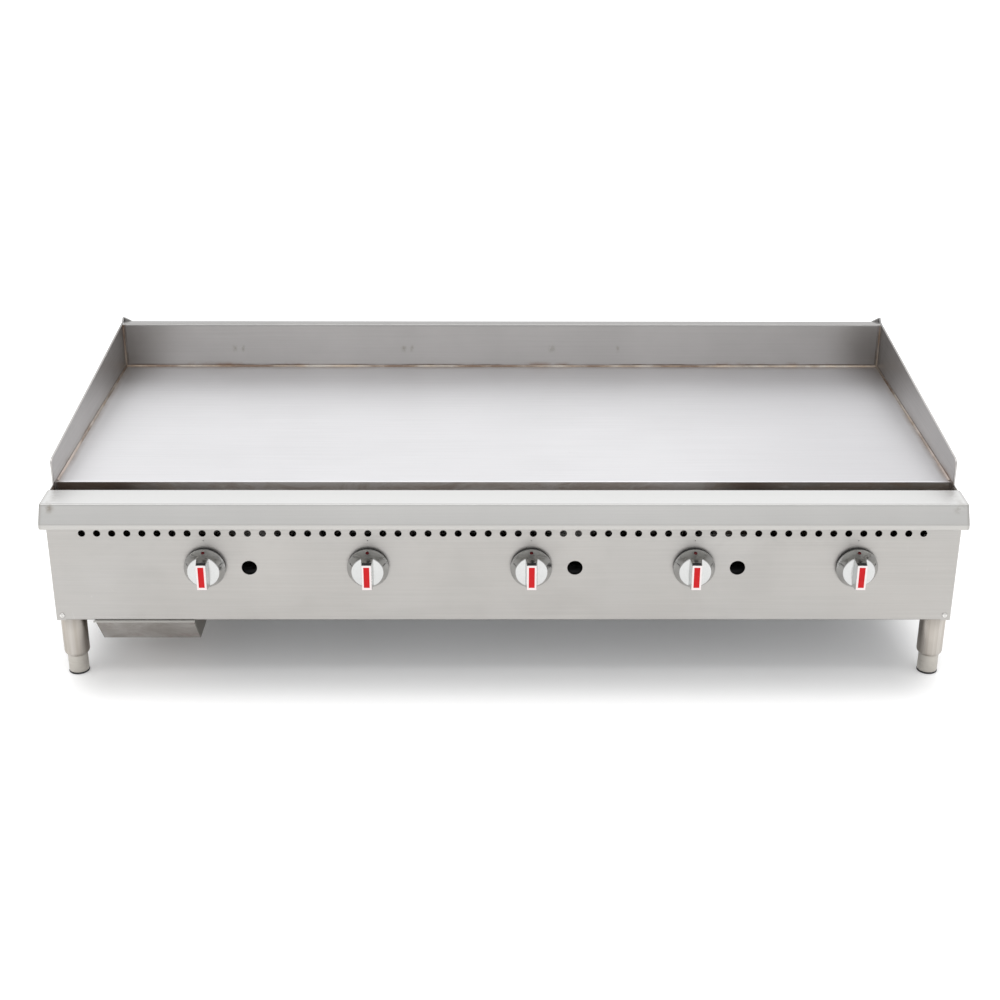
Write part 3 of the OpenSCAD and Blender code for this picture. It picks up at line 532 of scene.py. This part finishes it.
# CAD nodes that keep their own shape
dress("front_panel", M_PANEL)
for n in ("side_panel_left", "side_panel_right"):
    dress(n, M_SIDE)
for n in ("rear_panel", "bottom_panel", "tray_rails"):
    dress(n, M_ZINC)
dress("heat_shield", M_ALUM)
for n in ("grease_trough", "grease_chute"):
    dress(n, M_TROUGH)
for n in ("plate_frame", "burner_supports"):
    dress(n, M_FRAME)
for n in ("manifold_pipe", "supply_elbow"):
    dress(n, M_PIPE)
for n in ("gas_valves", "orifices", "pilot_valves"):
    dress(n, M_BRASS)
dress("pilot_tubes", M_TUBE)
for i in BURNERS:
    dress(f"burner_{i}", M_BURNER)
    dress(f"air_shutter_{i}", M_ALUM)
    dress(f"valve_stem_{i}", M_STEM)


# ---------------------------------------------------------------- grease tray

def slab(name, outline, across, mat, edge=0.35 * MM):
    """A plate whose Y-Z outline runs between two X values, with eased edges."""
    made = loft(name, along_x(outline, *across), mat, angle=30)
    bevel(made, edge, 2, 30)
    return settle(made, "tray", "tray_steel")


def grease_tray():
    lo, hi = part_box("grease_tray")
    cx = (lo.x + hi.x) / 2
    t, back, top, low = 1.2 * MM, hi.y, hi.z, lo.z
    half = (hi.x - lo.x) / 2 - 7 * MM
    foot = panel_y + 50 * MM
    inside = (cx - half + 1 * MM, cx + half - 1 * MM)
    front = [(panel_y + 0.6 * MM, top), (foot, low), (foot + 1 * MM, low), (foot + 1 * MM, low + t),
             (panel_y + 2 * MM, top)]
    made = slab("tray_front", front, inside, M_TRAY)
    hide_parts("grease_tray")
    slab("tray_floor", [(foot + 0.9 * MM, low), (back, low), (back, low + t), (foot + 0.9 * MM, low + t)],
         inside, M_TRAY)
    slab("tray_back", [(back - t, low + 1 * MM), (back, low + 1 * MM), (back, top), (back - t, top)],
         inside, M_TRAY)
    for s, tag in ((-1, "left"), (1, "right")):
        wall = [(panel_y + 0.6 * MM, top), (foot, low), (back, low), (back, top)]
        slab(f"tray_wall_{tag}", wall, (cx + s * (half - t), cx + s * half), M_TRAY_SIDE_SHADED)
        ear = [(panel_y + 16 * MM, top - t), (back, top - t), (back, top), (panel_y + 16 * MM, top)]
        slab(f"tray_runner_{tag}", ear, (cx + s * (half - 0.3 * MM), cx + s * (half + 7 * MM)), M_TRAY)
    lip = [(panel_y - 3.4 * MM, top - 2.4 * MM), (panel_y + 0.5 * MM, top - 2.4 * MM),
           (panel_y + 0.5 * MM, top), (panel_y - 0.6 * MM, top), (panel_y - 3.4 * MM, top - 1.8 * MM)]
    slab("tray_lip", lip, (cx - half - 2 * MM, cx + half + 2 * MM), M_LIP, 0.25 * MM)


grease_tray()


# ---------------------------------------------------------------- griddle plate

def griddle_plate():
    ease = 2.2 * MM
    outline = [(plate_hi.y, plate_lo.z), (plate_hi.y, plate_hi.z)]
    outline += arc(plate_lo.y + ease, plate_hi.z - ease, ease, 90, 180, 6)
    outline += arc(plate_lo.y + 0.6 * MM, plate_lo.z + 0.6 * MM, 0.6 * MM, 180, 270, 3)
    made = loft("plate", along_x(outline, plate_lo.x, plate_hi.x, 24), [M_TOP, M_RAW])
    paint(made, lambda n, c: 0 if n.z > 0.35 else 1)
    return settle(made, "casing", "polished_plate", "griddle_plate")


griddle_plate()


# ---------------------------------------------------------------- front rail

def round_path(points, radii, steps=8):
    """The points with each inner corner turned into an arc."""
    out = [Vector(points[0])]
    for k in range(1, len(points) - 1):
        p = Vector(points[k])
        u = (Vector(points[k - 1]) - p).normalized()
        v = (Vector(points[k + 1]) - p).normalized()
        half = u.angle(v) / 2
        r = radii[k - 1]
        back = r / math.tan(half)
        centre = p + (u + v).normalized() * (r / math.sin(half))
        a, b = p + u * back - centre, p + v * back - centre
        total = a.angle(b)
        for i in range(steps + 1):
            t = i / steps
            w = (a * math.sin((1 - t) * total) + b * math.sin(t * total)) / math.sin(total)
            out.append(centre + w)
    out.append(Vector(points[-1]))
    return out


def normals_of(path, inside):
    """Unit normals along a path, pointing to the side that the point inside is on."""
    out = []
    for k in range(len(path)):
        t = (path[min(len(path) - 1, k + 1)] - path[max(0, k - 1)]).normalized()
        n = Vector((-t.y, t.x))
        out.append(n if n.dot(inside - path[k]) > 0 else -n)
    return out


def front_rail():
    face_y, band_z = rail_lo.y + 20 * MM, rail_lo.z + 9.5 * MM
    top, low, sheet = rail_hi.z, rail_lo.z, 1.5 * MM
    path = round_path([(rail_hi.y, top - 16 * MM), (rail_hi.y, top), (face_y, top), (rail_lo.y, band_z),
                       (rail_lo.y, low), (panel_y - 0.3 * MM, low)],
                      [2.0 * MM, 2.8 * MM, 5.0 * MM, 2.2 * MM], 8)
    inside = Vector(((rail_hi.y + face_y) / 2, (top + low) / 2 + 6 * MM))
    normals = normals_of(path, inside)
    end, corner = rail_hi.x, 3.4 * MM
    ring = path + [p + n * sheet for p, n in reversed(list(zip(path, normals)))]
    steps = 30
    inner = end - corner
    sections = [[Vector((-inner + 2 * inner * k / steps, p.x, p.y)) for p in ring] for k in range(steps + 1)]
    settle(loft("rail", sections, M_RAIL, angle=50), "casing", "stainless_panel", "front_rail")
    # Closed ends, rounded most at the foot of the face
    for side, tag in ((-1, "left"), (1, "right")):
        sections = []
        for a in range(0, 91, 15):
            x = inner + corner * math.sin(math.radians(a))
            pull = corner * (1 - math.cos(math.radians(a)))
            section = []
            for p, n in zip(path, normals):
                foot = max(0.0, min(1.0, 1.25 - (p.y - low) / (24 * MM)))
                front = max(0.0, min(1.0, (face_y - p.x) / (10 * MM)))
                inset = pull * (0.22 + 0.78 * foot * front)
                section.append(Vector((side * x, p.x + n.x * inset, p.y + n.y * inset)))
            sections.append(section)
        cap = loft(f"rail_end_{tag}", sections, M_RAIL, angle=50)
        settle(cap, "casing", "stainless_panel")


front_rail()


# ---------------------------------------------------------------- splash guards

def side_guard(side, node):
    lo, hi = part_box(node)
    out_x = lo.x if side < 0 else hi.x
    in_x = out_x - side * 3.5 * MM
    front_z = plate_z + 46 * MM
    top_z = back_hi.z
    slope = (top_z - front_z) / (plate_hi.y - lo.y)
    outline = [(lo.y, lo.z), (hi.y, lo.z), (hi.y, hi.z), (hi.y - 3.4 * MM, hi.z - 0.6 * MM),
               (hi.y - 14 * MM, top_z + slope * 9 * MM)]
    r = 9 * MM
    tilt = math.degrees(math.atan(slope))
    outline += arc(lo.y + r, front_z - r + 0.6 * MM, r, 90 + tilt, 180, 8)
    tag = "left" if side < 0 else "right"
    made = loft(f"guard_side_{tag}", along_x(outline, in_x, out_x), M_GUARD_SIDE, angle=30)
    bevel(made, 0.7 * MM, 3)
    settle(made, "casing", "splash_steel", node)
    # The rear return, whose pointed top stands just over the back guard's flange
    ear = [(in_x, plate_z + 20 * MM), (in_x, hi.z - 0.2 * MM), (in_x - side * 3 * MM, hi.z - 1.4 * MM),
           (in_x - side * 14 * MM, back_hi.z + 0.2 * MM), (in_x - side * 14 * MM, plate_z + 20 * MM)]
    sections = [[Vector((x, y, z)) for x, z in ear] for y in (hi.y - 3.4 * MM, hi.y)]
    tab = loft(f"guard_ear_{tag}", sections, M_GUARD_SIDE, angle=30)
    bevel(tab, 0.6 * MM, 2)
    settle(tab, "casing", "splash_steel")


side_guard(-1, "splash_left")
side_guard(1, "splash_right")


def back_guard():
    t = 3.5 * MM
    y0, y1 = back_lo.y, back_hi.y
    top = back_hi.z
    outer = round_path([(y0, back_lo.z), (y0, top), (y1, top)], [4.4 * MM], 8)
    inner = round_path([(y0 + t, back_lo.z), (y0 + t, top - t), (y1, top - t)], [1.4 * MM], 8)
    outline = [(p.x, p.y) for p in outer] + [(p.x, p.y) for p in reversed(inner)]
    made = loft("guard_back", along_x(outline, back_lo.x, back_hi.x, 24), M_GUARD)
    return settle(made, "casing", "splash_steel", "splash_back")


back_guard()


# ---------------------------------------------------------------- weld beads

def bead_run(start, end, u, v, leg, seed):
    """Sections of a rippled fillet from start to end, whose legs lie along u and v."""
    rng = random.Random(seed)
    length = (end - start).length
    along = (end - start).normalized()
    step = 1.1 * MM
    count = max(2, int(length / step))
    phase, drift, sections = 0.0, 0.0, []
    pitch = 3.4 * MM
    for k in range(count + 1):
        d = length * k / count
        phase += (length / count) / pitch * (1 + rng.uniform(-0.08, 0.08))
        drift = max(-1.0, min(1.0, drift + rng.uniform(-0.12, 0.12)))
        saw = phase - math.floor(phase)
        swell = 1 - 0.10 * (saw ** 1.6) + 0.05 * drift
        size = leg * min(1.0, 0.86 + 0.05 * drift) * (0.93 + 0.07 * swell)
        crown = size * 0.60 * swell
        p = start + along * d
        lean = along * (0.35 * MM)
        ring = [p, p + u * size, p + u * size * 0.82 + v * size * 0.30 + lean * 0.5,
                p + (u + v) * crown + lean, p + u * size * 0.30 + v * size * 0.82 + lean * 0.5,
                p + v * size]
        sections.append(ring)
    return sections


def weld_beads():
    lo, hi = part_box("weld_beads")
    leg = 3.3 * MM
    sink = 0.02 * MM
    runs = []
    z = plate_z - sink
    y = plate_hi.y + 0.1 * MM
    for s in (-1, 1):
        x = s * (-guard_in)
        runs.append((Vector((x, lo.y, z)), Vector((x, y - 0.5 * MM, z)), Vector((-s, 0, 0)),
                     Vector((0, 0, 1))))
        runs.append((Vector((x, y, z)), Vector((x, y, hi.z)), Vector((-s, 0, 0)), Vector((0, -1, 0))))
    runs.append((Vector((guard_in, y, z)), Vector((-guard_in, y, z)), Vector((0, -1, 0)),
                 Vector((0, 0, 1))))
    verts, faces = [], []
    for seed, (a, b, u, v) in enumerate(runs):
        sections = bead_run(a, b, u, v, leg, 11 + seed)
        n, first = 6, len(verts)
        verts += [p for ring in sections for p in ring]
        for i in range(len(sections) - 1):
            for k in range(n):
                m = (k + 1) % n
                faces.append((first + i * n + k, first + i * n + m, first + (i + 1) * n + m,
                              first + (i + 1) * n + k))
        faces.append(tuple(first + k for k in range(n)))
        faces.append(tuple(first + (len(sections) - 1) * n + k for k in range(n)))
    made = mesh_piece("welds", verts, faces, M_WELD, angle=80)
    return settle(made, "casing", "weld_metal", "weld_beads")


weld_beads()


# ---------------------------------------------------------------- knobs

def knob(i):
    lo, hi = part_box(f"knob_{i}")
    cx, cz = (lo.x + hi.x) / 2, (lo.z + hi.z) / 2
    root = Vector((cx, panel_y, cz))
    out = Vector((0, -1, 0))
    body = f"control_{i}"
    r = (hi.x - lo.x) / 2
    face, grip = 23 * MM, 45 * MM
    bevel_in, bevel_up = 7.6 * MM, 13.6 * MM

    def at(x, z, h):
        return root + Vector((x, -h, z))

    def round_box(w, l, corner, h, up=0.0):
        """A rounded rectangle of half sizes w and l, at height h over the panel."""
        ring = []
        for sx, sz, a0 in ((1, 1, 0), (-1, 1, 90), (-1, -1, 180), (1, -1, 270)):
            for px, pz in arc(sx * (w - corner), sz * (l - corner), corner, a0, a0 + 90, 4):
                ring.append(at(px, pz + up, h))
        return ring

    def bevel_at(t):
        """Radius and height at fraction t of the slightly dished bevel."""
        return (r - 0.6 * MM - bevel_in * t - 0.5 * MM * math.sin(math.pi * t),
                8.6 * MM + bevel_up * t)

    # Chromed cap: skirt, slightly dished bevel and front face
    profile = [(5 * MM, 7.2 * MM), (30.6 * MM, 7.2 * MM), (30.6 * MM, 6.1 * MM), (r - 0.7 * MM, 6.1 * MM),
               (r - 0.2 * MM, 6.3 * MM), (r, 6.7 * MM), (r, 7.6 * MM), (r - 0.15 * MM, 8.1 * MM),
               (r - 0.6 * MM, 8.6 * MM)]
    profile += [bevel_at(k / 8) for k in range(1, 9)]
    profile += [(r - 8.5 * MM, 22.55 * MM), (r - 8.9 * MM, 22.85 * MM), (r - 9.5 * MM, face),
                (12 * MM, face - 0.05 * MM), (0, face - 0.05 * MM)]
    cap = lathe(f"knob_cap_{i}", profile, root, out, M_CHROME, 128, angle=38)
    settle(cap, body, "knob_chrome", f"knob_{i}")
    # Black core behind the skirt: painted shade, a dark piece standing in for the shadow in the gap
    core = lathe(f"knob_gap_shade_{i}", [(5 * MM, 1.0 * MM), (r - 0.9 * MM, 1.0 * MM), (r - 0.4 * MM, 1.5 * MM),
                                    (r - 0.4 * MM, 5.4 * MM), (r - 1 * MM, 6.1 * MM), (30.6 * MM, 6.1 * MM)],
                 root, out, M_BLACK_SHADE, 96, angle=38)
    settle(core, body, "knob_chrome")

    # Grip bar, waisted ends and flared foot
    levels = [(face - 0.9 * MM, 10.6, 27.2), (face + 0.1 * MM, 10.1, 26.7), (face + 1.6 * MM, 9.7, 26.1),
              (face + 6 * MM, 9.3, 25.0), (face + 12 * MM, 8.8, 23.9), (face + 17 * MM, 8.35, 23.0),
              (grip - 2.2 * MM, 8.05, 22.6), (grip - 1.6 * MM, 8.0, 22.55)]
    sections = [round_box(half_w * MM, half_l * MM, 1.0 * MM, h) for h, half_w, half_l in levels]
    bar = loft(f"knob_bar_{i}", sections, M_CHROME, angle=45)
    settle(bar, body, "knob_chrome")

    # Black blocks at the ends of the bar under its face plate: painted shade for the dark band there
    for s, tag in ((1, "a"), (-1, "b")):
        block = []
        for h, l in ((face + 12.5 * MM, 24.0 * MM), (grip - 1.2 * MM, 22.75 * MM)):
            w, c = 7.95 * MM, 0.7 * MM
            ring = [at(x, s * z, h) for x, z in
                    ((-w, l - 1.2 * MM), (-w + c, l), (w - c, l), (w, l - 1.2 * MM))]
            block.append(ring)
        end = loft(f"knob_end_shade_{tag}_{i}", block, M_BLACK_SHADE, angle=30)
        bevel(end, 0.2 * MM, 2)
        settle(end, body, "knob_chrome")

    # White face plate with rounded corners and its red inlay
    def tablet(name, half_w, half_l, up, h0, h1, corner, mat, slot, *replaced):
        rings = []
        for h, inset in ((h0, 0.0), (h1 - 0.35 * MM, 0.0), (h1 - 0.1 * MM, 0.12 * MM), (h1, 0.38 * MM)):
            rings.append(round_box(half_w - inset, half_l - inset,
                                   max(corner - inset, 0.1 * MM), h, up))
        made = loft(name, rings, mat, angle=50)
        return settle(made, body, slot, *replaced)

    tablet(f"knob_plate_{i}", 8.0 * MM, 22.5 * MM, 0.4 * MM, grip - 1.6 * MM, grip - 0.35 * MM, 1.2 * MM,
           M_WHITE, "knob_chrome")
    tablet(f"knob_stripe_{i}", 5.0 * MM, 18.7 * MM, 1.1 * MM, grip - 0.9 * MM, grip - 0.15 * MM, 0.5 * MM,
           M_RED, "mark_red", f"knob_marks_{i}")

    # Index dot and ticks on the bevel
    slope = math.atan2(bevel_up, bevel_in)
    normal_r, normal_h = math.sin(slope), math.cos(slope)

    def on_bevel(angle, t, lift):
        radius, height = bevel_at(t)
        radius += normal_r * lift
        a = math.radians(angle)
        return at(radius * math.sin(a), radius * math.cos(a), height + normal_h * lift)

    seat = on_bevel(0, 0.34, -0.3 * MM)
    aim = (on_bevel(0, 0.34, 1 * MM) - on_bevel(0, 0.34, 0)).normalized()
    dot = lathe(f"knob_dot_{i}", [(2.9 * MM, 0.0), (2.9 * MM, 0.36 * MM), (2.5 * MM, 0.6 * MM),
                                  (1.4 * MM, 0.75 * MM), (0, 0.8 * MM)], seat, aim, M_DOT, 32, angle=60)
    settle(dot, body, "mark_red")
    verts, faces = [], []
    for a in (-68, 68):
        first = len(verts)
        for t, spread_deg in ((0.26, 1.2), (0.84, 1.4)):
            for d in (-spread_deg, spread_deg):
                verts.append(on_bevel(a + d, t, 0.06 * MM))
                verts.append(on_bevel(a + d, t, -0.3 * MM))
        q = first
        faces += [(q, q + 2, q + 6, q + 4), (q + 1, q + 5, q + 7, q + 3), (q, q + 1, q + 3, q + 2),
                  (q + 4, q + 6, q + 7, q + 5), (q, q + 4, q + 5, q + 1), (q + 2, q + 3, q + 7, q + 6)]
    ticks = mesh_piece(f"knob_ticks_{i}", verts, faces, M_TICK, smooth=False)
    settle(ticks, body, "mark_red")


for i in BURNERS:
    knob(i)


# ---------------------------------------------------------------- legs and feet

def leg_centres():
    out = []
    for i in CORNERS:
        lo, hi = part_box(f"foot_{i}")
        out.append(Vector(((lo.x + hi.x) / 2, (lo.y + hi.y) / 2, 0)))
    return out


def legs():
    up = Vector((0, 0, 1))
    r = 21.7 * MM
    bore = 17.5 * MM
    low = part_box("leg_tubes")[0].z
    for k, c in enumerate(leg_centres()):
        profile = [(bore, low + 15 * MM), (bore, low + 0.4 * MM), (bore + 0.3 * MM, low)]
        profile += [(r - 7.5 * MM + 7.5 * MM * math.sin(math.radians(a)),
                     low + 8.6 * MM * (1 - math.cos(math.radians(a)))) for a in range(36, 91, 9)]
        profile += [(r, low + 30 * MM), (r, body_z - 0.4 * MM), (r - 0.3 * MM, body_z), (8 * MM, body_z),
                    (8 * MM, body_z + 20.6 * MM), (7 * MM, body_z + 21.6 * MM), (0, body_z + 21.6 * MM)]
        made = lathe(f"leg_{k + 1}", profile, c, up, M_LEG, 96, angle=40)
        settle(made, "casing", "leg_steel", *(["leg_tubes"] if k == 0 else []))
    for i, c in zip(CORNERS, leg_centres()):
        f_lo, f_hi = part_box(f"foot_{i}")
        p_lo, p_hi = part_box(f"foot_pad_{i}")
        fr = (f_hi.x - f_lo.x) / 2
        top = low + 22 * MM
        profile = [(0, f_lo.z), (fr - 0.9 * MM, f_lo.z), (fr - 0.3 * MM, f_lo.z + 0.3 * MM),
                   (fr, f_lo.z + 1.0 * MM)]
        for z in (9.0, 16.0, 23.0):
            profile += [(fr, z * MM), (fr - 0.25 * MM, (z + 0.25) * MM), (fr - 0.25 * MM, (z + 0.7) * MM),
                        (fr, (z + 0.95) * MM)]
        profile += [(fr, top), (fr - 1 * MM, top + 1 * MM), (8 * MM, top + 1 * MM)]
        # Levelling screw
        z = top + 2 * MM
        while z < f_hi.z - 2.5 * MM:
            profile += [(8 * MM, z), (7.2 * MM, z + 0.9 * MM)]
            z += 1.8 * MM
        profile += [(7.6 * MM, f_hi.z - 1 * MM), (6.8 * MM, f_hi.z), (0, f_hi.z)]
        foot = lathe(f"foot_turned_{i}", profile, c, up, M_FOOT, 96, angle=30)
        settle(foot, f"leveller_{i}", "foot_steel", f"foot_{i}")
        pr = (p_hi.x - p_lo.x) / 2
        profile = [(0, 0.4 * MM), (pr - 4 * MM, 0.4 * MM), (pr - 3.4 * MM, 0), (pr - 0.8 * MM, 0),
                   (pr - 0.2 * MM, 0.5 * MM), (pr, 1.2 * MM), (pr, 2.2 * MM),
                   (pr - 0.3 * MM, 2.8 * MM), (pr - 0.9 * MM, 3.0 * MM), (0, 3.0 * MM)]
        pad = lathe(f"pad_{i}", profile, c, up, M_RUBBER, 96, angle=50)
        settle(pad, f"leveller_{i}", "pad_rubber", f"foot_pad_{i}")


legs()


# ---------------------------------------------------------------- screws, nuts and washers

SCREW_R = 4.6 * MM
CROWN, ARM_Z = 2.62, 2.6      # heights of the dome and of the recess arms, in mm


def truss_screw(verts, faces, base, axis, spin):
    """A low domed screw head with a cross recess, added to a shared mesh."""
    head = SCREW_R
    z = Vector(axis).normalized()
    x = z.orthogonal().normalized()
    x = Matrix.Rotation(spin, 3, z) @ x
    y = z.cross(x)
    rings = [(head, 0.05), (head, 0.5), (head - 0.3 * MM, 1.1), (head - 1.0 * MM, 1.8),
             (head - 2.0 * MM, 2.35), (1.6 * MM, CROWN)]
    count = 32
    first = len(verts)
    for r, h in rings:
        for k in range(count):
            a = 2 * math.pi * k / count
            verts.append(base + (x * math.cos(a) + y * math.sin(a)) * r + z * h * MM)
    # The recess: the innermost ring drops, deeper along the arms of a cross
    inner = []
    for k in range(count):
        a = 2 * math.pi * k / count
        arm = max(abs(math.cos(a)), abs(math.sin(a))) > 0.93
        r = 1.45 * MM if arm else 0.55 * MM
        inner.append(len(verts))
        verts.append(base + (x * math.cos(a) + y * math.sin(a)) * r + z * (ARM_Z if arm else CROWN) * MM)
    floor = []
    for k in range(count):
        v = verts[inner[k]]
        floor.append(len(verts))
        verts.append(base + (v - base) * 0.86 + z * -1.0 * MM)
    for i in range(len(rings) - 1):
        for k in range(count):
            n = (k + 1) % count
            faces.append((first + i * count + k, first + i * count + n, first + (i + 1) * count + n,
                          first + (i + 1) * count + k))
    last = first + (len(rings) - 1) * count
    for k in range(count):
        n = (k + 1) % count
        faces.append((last + k, last + n, inner[n], inner[k]))
        faces.append((inner[k], inner[n], floor[n], floor[k]))
    faces.append(tuple(floor))
    faces.append(tuple(first + k for k in reversed(range(count))))


def fasteners():
    verts, faces = [], []
    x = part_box("fasteners")[1].x - SCREW_R
    rear_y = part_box("rear_panel")[1].y
    z = body_z + 9.3 * MM
    for s, spin in ((-1, 0.3), (1, 1.0)):
        truss_screw(verts, faces, Vector((s * x, panel_y, z)), (0, -1, 0), spin)
        for zz in (body_z + 20 * MM, body_z + 140 * MM):
            truss_screw(verts, faces, Vector((s * x, rear_y, zz)), (0, 1, 0), spin + zz * 9)
    screws = mesh_piece("screws", verts, faces, M_SCREW, angle=40)
    settle(screws, "casing", "screw_steel", "fasteners")
    # Chamfered nuts on the leg studs, inside the casing
    floor_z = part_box("bottom_panel")[1].z
    corner, flat, tip = 13.4, 11.65, 11.2
    for k, c in enumerate(leg_centres()):
        rings = []
        for r, h in ((tip, 0.0), (corner, 1.0), (corner, 9.0), (tip, 10.0)):
            ring = []
            for a in range(0, 360, 30):
                turn = math.radians(a)
                reach = min(r, corner if a % 60 == 0 else flat) * MM
                ring.append(c + Vector((math.cos(turn) * reach, math.sin(turn) * reach,
                                        floor_z + h * MM)))
            rings.append(ring)
        nut = loft(f"stud_nut_{k + 1}", rings, M_SCREW, angle=25)
        settle(nut, "casing", "screw_steel")


fasteners()


# ---------------------------------------------------------------- gas inlet with its thread

def inlet():
    lo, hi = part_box("supply_pipe")
    cx, cz = (lo.x + hi.x) / 2, (lo.z + hi.z) / 2
    r, bore = (hi.x - lo.x) / 2, 10.5 * MM
    pitch, depth, cut, throat = 1.814 * MM, 0.95 * MM, 17 * MM, 6 * MM
    segments, rows = 48, 96
    verts, faces = [], []

    def ring(y, radius_of):
        first = len(verts)
        for k in range(segments):
            a = 2 * math.pi * k / segments
            q = radius_of(k / segments)
            verts.append(Vector((cx + math.cos(a) * q, y, cz + math.sin(a) * q)))
        return first

    order = [ring(hi.y - throat, lambda t: bore), ring(hi.y - 0.3 * MM, lambda t: bore),
             ring(hi.y, lambda t: bore + 0.3 * MM), ring(hi.y, lambda t: r - depth - 0.2 * MM)]
    for row in range(rows + 1):
        d = cut * row / rows

        def radius(t, d=d):
            phase = (d / pitch + t) % 1.0
            v = abs(2 * phase - 1)
            fade = min(1.0, max(0.0, (cut - d) / (5 * MM)))
            start = min(1.0, d / (1.2 * MM))
            return r - depth * (1 - v) * fade - 0.25 * MM * (1 - start) - 0.02 * MM

        order.append(ring(hi.y - d - 0.2 * MM, radius))
    order.append(ring(hi.y - cut - 0.5 * MM, lambda t: r))
    order.append(ring(lo.y, lambda t: r))
    order.append(ring(lo.y, lambda t: bore))
    order.append(ring(hi.y - throat, lambda t: bore))
    for a, b in zip(order, order[1:]):
        for k in range(segments):
            n = (k + 1) % segments
            faces.append((a + k, a + n, b + n, b + k))
    made = mesh_piece("inlet_pipe", verts, faces, M_PIPE, angle=50)
    bm = bmesh.new()
    bm.from_mesh(made.data)
    bmesh.ops.remove_doubles(bm, verts=bm.verts, dist=1e-6)
    bm.to_mesh(made.data)
    bm.free()
    return settle(made, "casing", "black_pipe", "supply_pipe")


inlet()


# ---------------------------------------------------------------- stage, light and camera

def floor():
    mesh = bpy.data.meshes.new("floor")
    s, drop = 30.0, 0.4 * MM
    mesh.from_pydata([(-s, -s, 0), (s, -s, 0), (s, s, 0), (-s, s, 0)], [], [(0, 1, 2, 3)])
    made = bpy.data.objects.new("floor", mesh)
    bpy.context.scene.collection.objects.link(made)
    made.location.z = -drop
    # Pale paper that glows, though it is no lamp, so that it stays white to its edges; the glow fades near
    # the griddle, a painted shadow around it
    g = Graph("floor_paper")
    x, y, z = g.xyz()
    away = [g.math("MAXIMUM", g.math("SUBTRACT", g.math("ABSOLUTE", c), half), 0.0)
            for c, half in ((x, 0.665), (y, 0.325))]
    away = g.math("SQRT", g.math("ADD", g.math("POWER", away[0], 2.0), g.math("POWER", away[1], 2.0)))
    g.put(g.bsdf.inputs["Emission Strength"], g.spread(away, 0.0, 0.155, 0.08, 0.40, smooth=True))
    g.put(g.bsdf.inputs["Base Color"], (0.80, 0.80, 0.80))
    g.put(g.bsdf.inputs["Emission Color"], (1, 1, 1))
    g.put(g.bsdf.inputs["Roughness"], 0.9)
    g.put(g.bsdf.inputs["Specular IOR Level"], 0.1)
    mesh.materials.append(g.mat)


floor()


def area(name, where, aim, size, power):
    data = bpy.data.lights.new(name, "AREA")
    data.shape = "RECTANGLE"
    data.size, data.size_y = size
    data.energy = power
    made = bpy.data.objects.new(name, data)
    bpy.context.scene.collection.objects.link(made)
    made.location = where
    made.rotation_euler = (Vector(aim) - Vector(where)).to_track_quat("-Z", "Y").to_euler()


area("top_box", (0.0, -0.2, 3.2), (0, -0.1, 0.2), (5.0, 2.6), 60)
area("back_box", (0.0, 4.6, 3.0), (0, 0, 0.3), (11.0, 3.2), 45)

world = bpy.data.worlds.new("studio")
bpy.context.scene.world = world
world.use_nodes = True
background = world.node_tree.nodes["Background"]
background.inputs["Color"].default_value = (1, 1, 1, 1)
background.inputs["Strength"].default_value = 0.92
bpy.context.scene.view_settings.view_transform = "Standard"


def camera():
    where = Vector((-23.445, -2795.335, 1441.437)) * MM
    pitch, yaw, roll = (math.radians(a) for a in (24.1181, -0.36697, 0.16974))
    ahead = Vector((-math.sin(yaw) * math.cos(pitch), math.cos(yaw) * math.cos(pitch), -math.sin(pitch)))
    right = Vector((math.cos(yaw), math.sin(yaw), 0))
    up = Vector((-math.sin(yaw) * math.sin(pitch), math.cos(yaw) * math.sin(pitch), math.cos(pitch)))
    r = right * math.cos(roll) + up * math.sin(roll)
    u = -right * math.sin(roll) + up * math.cos(roll)
    data = bpy.data.cameras.new("camera")
    data.lens = 59.2355808
    data.sensor_width = 36
    data.clip_end = 200
    made = bpy.data.objects.new("camera", data)
    bpy.context.scene.collection.objects.link(made)
    made.matrix_world = Matrix(((r.x, u.x, -ahead.x, where.x), (r.y, u.y, -ahead.y, where.y),
                                (r.z, u.z, -ahead.z, where.z), (0, 0, 0, 1)))
    bpy.context.scene.camera = made


camera()
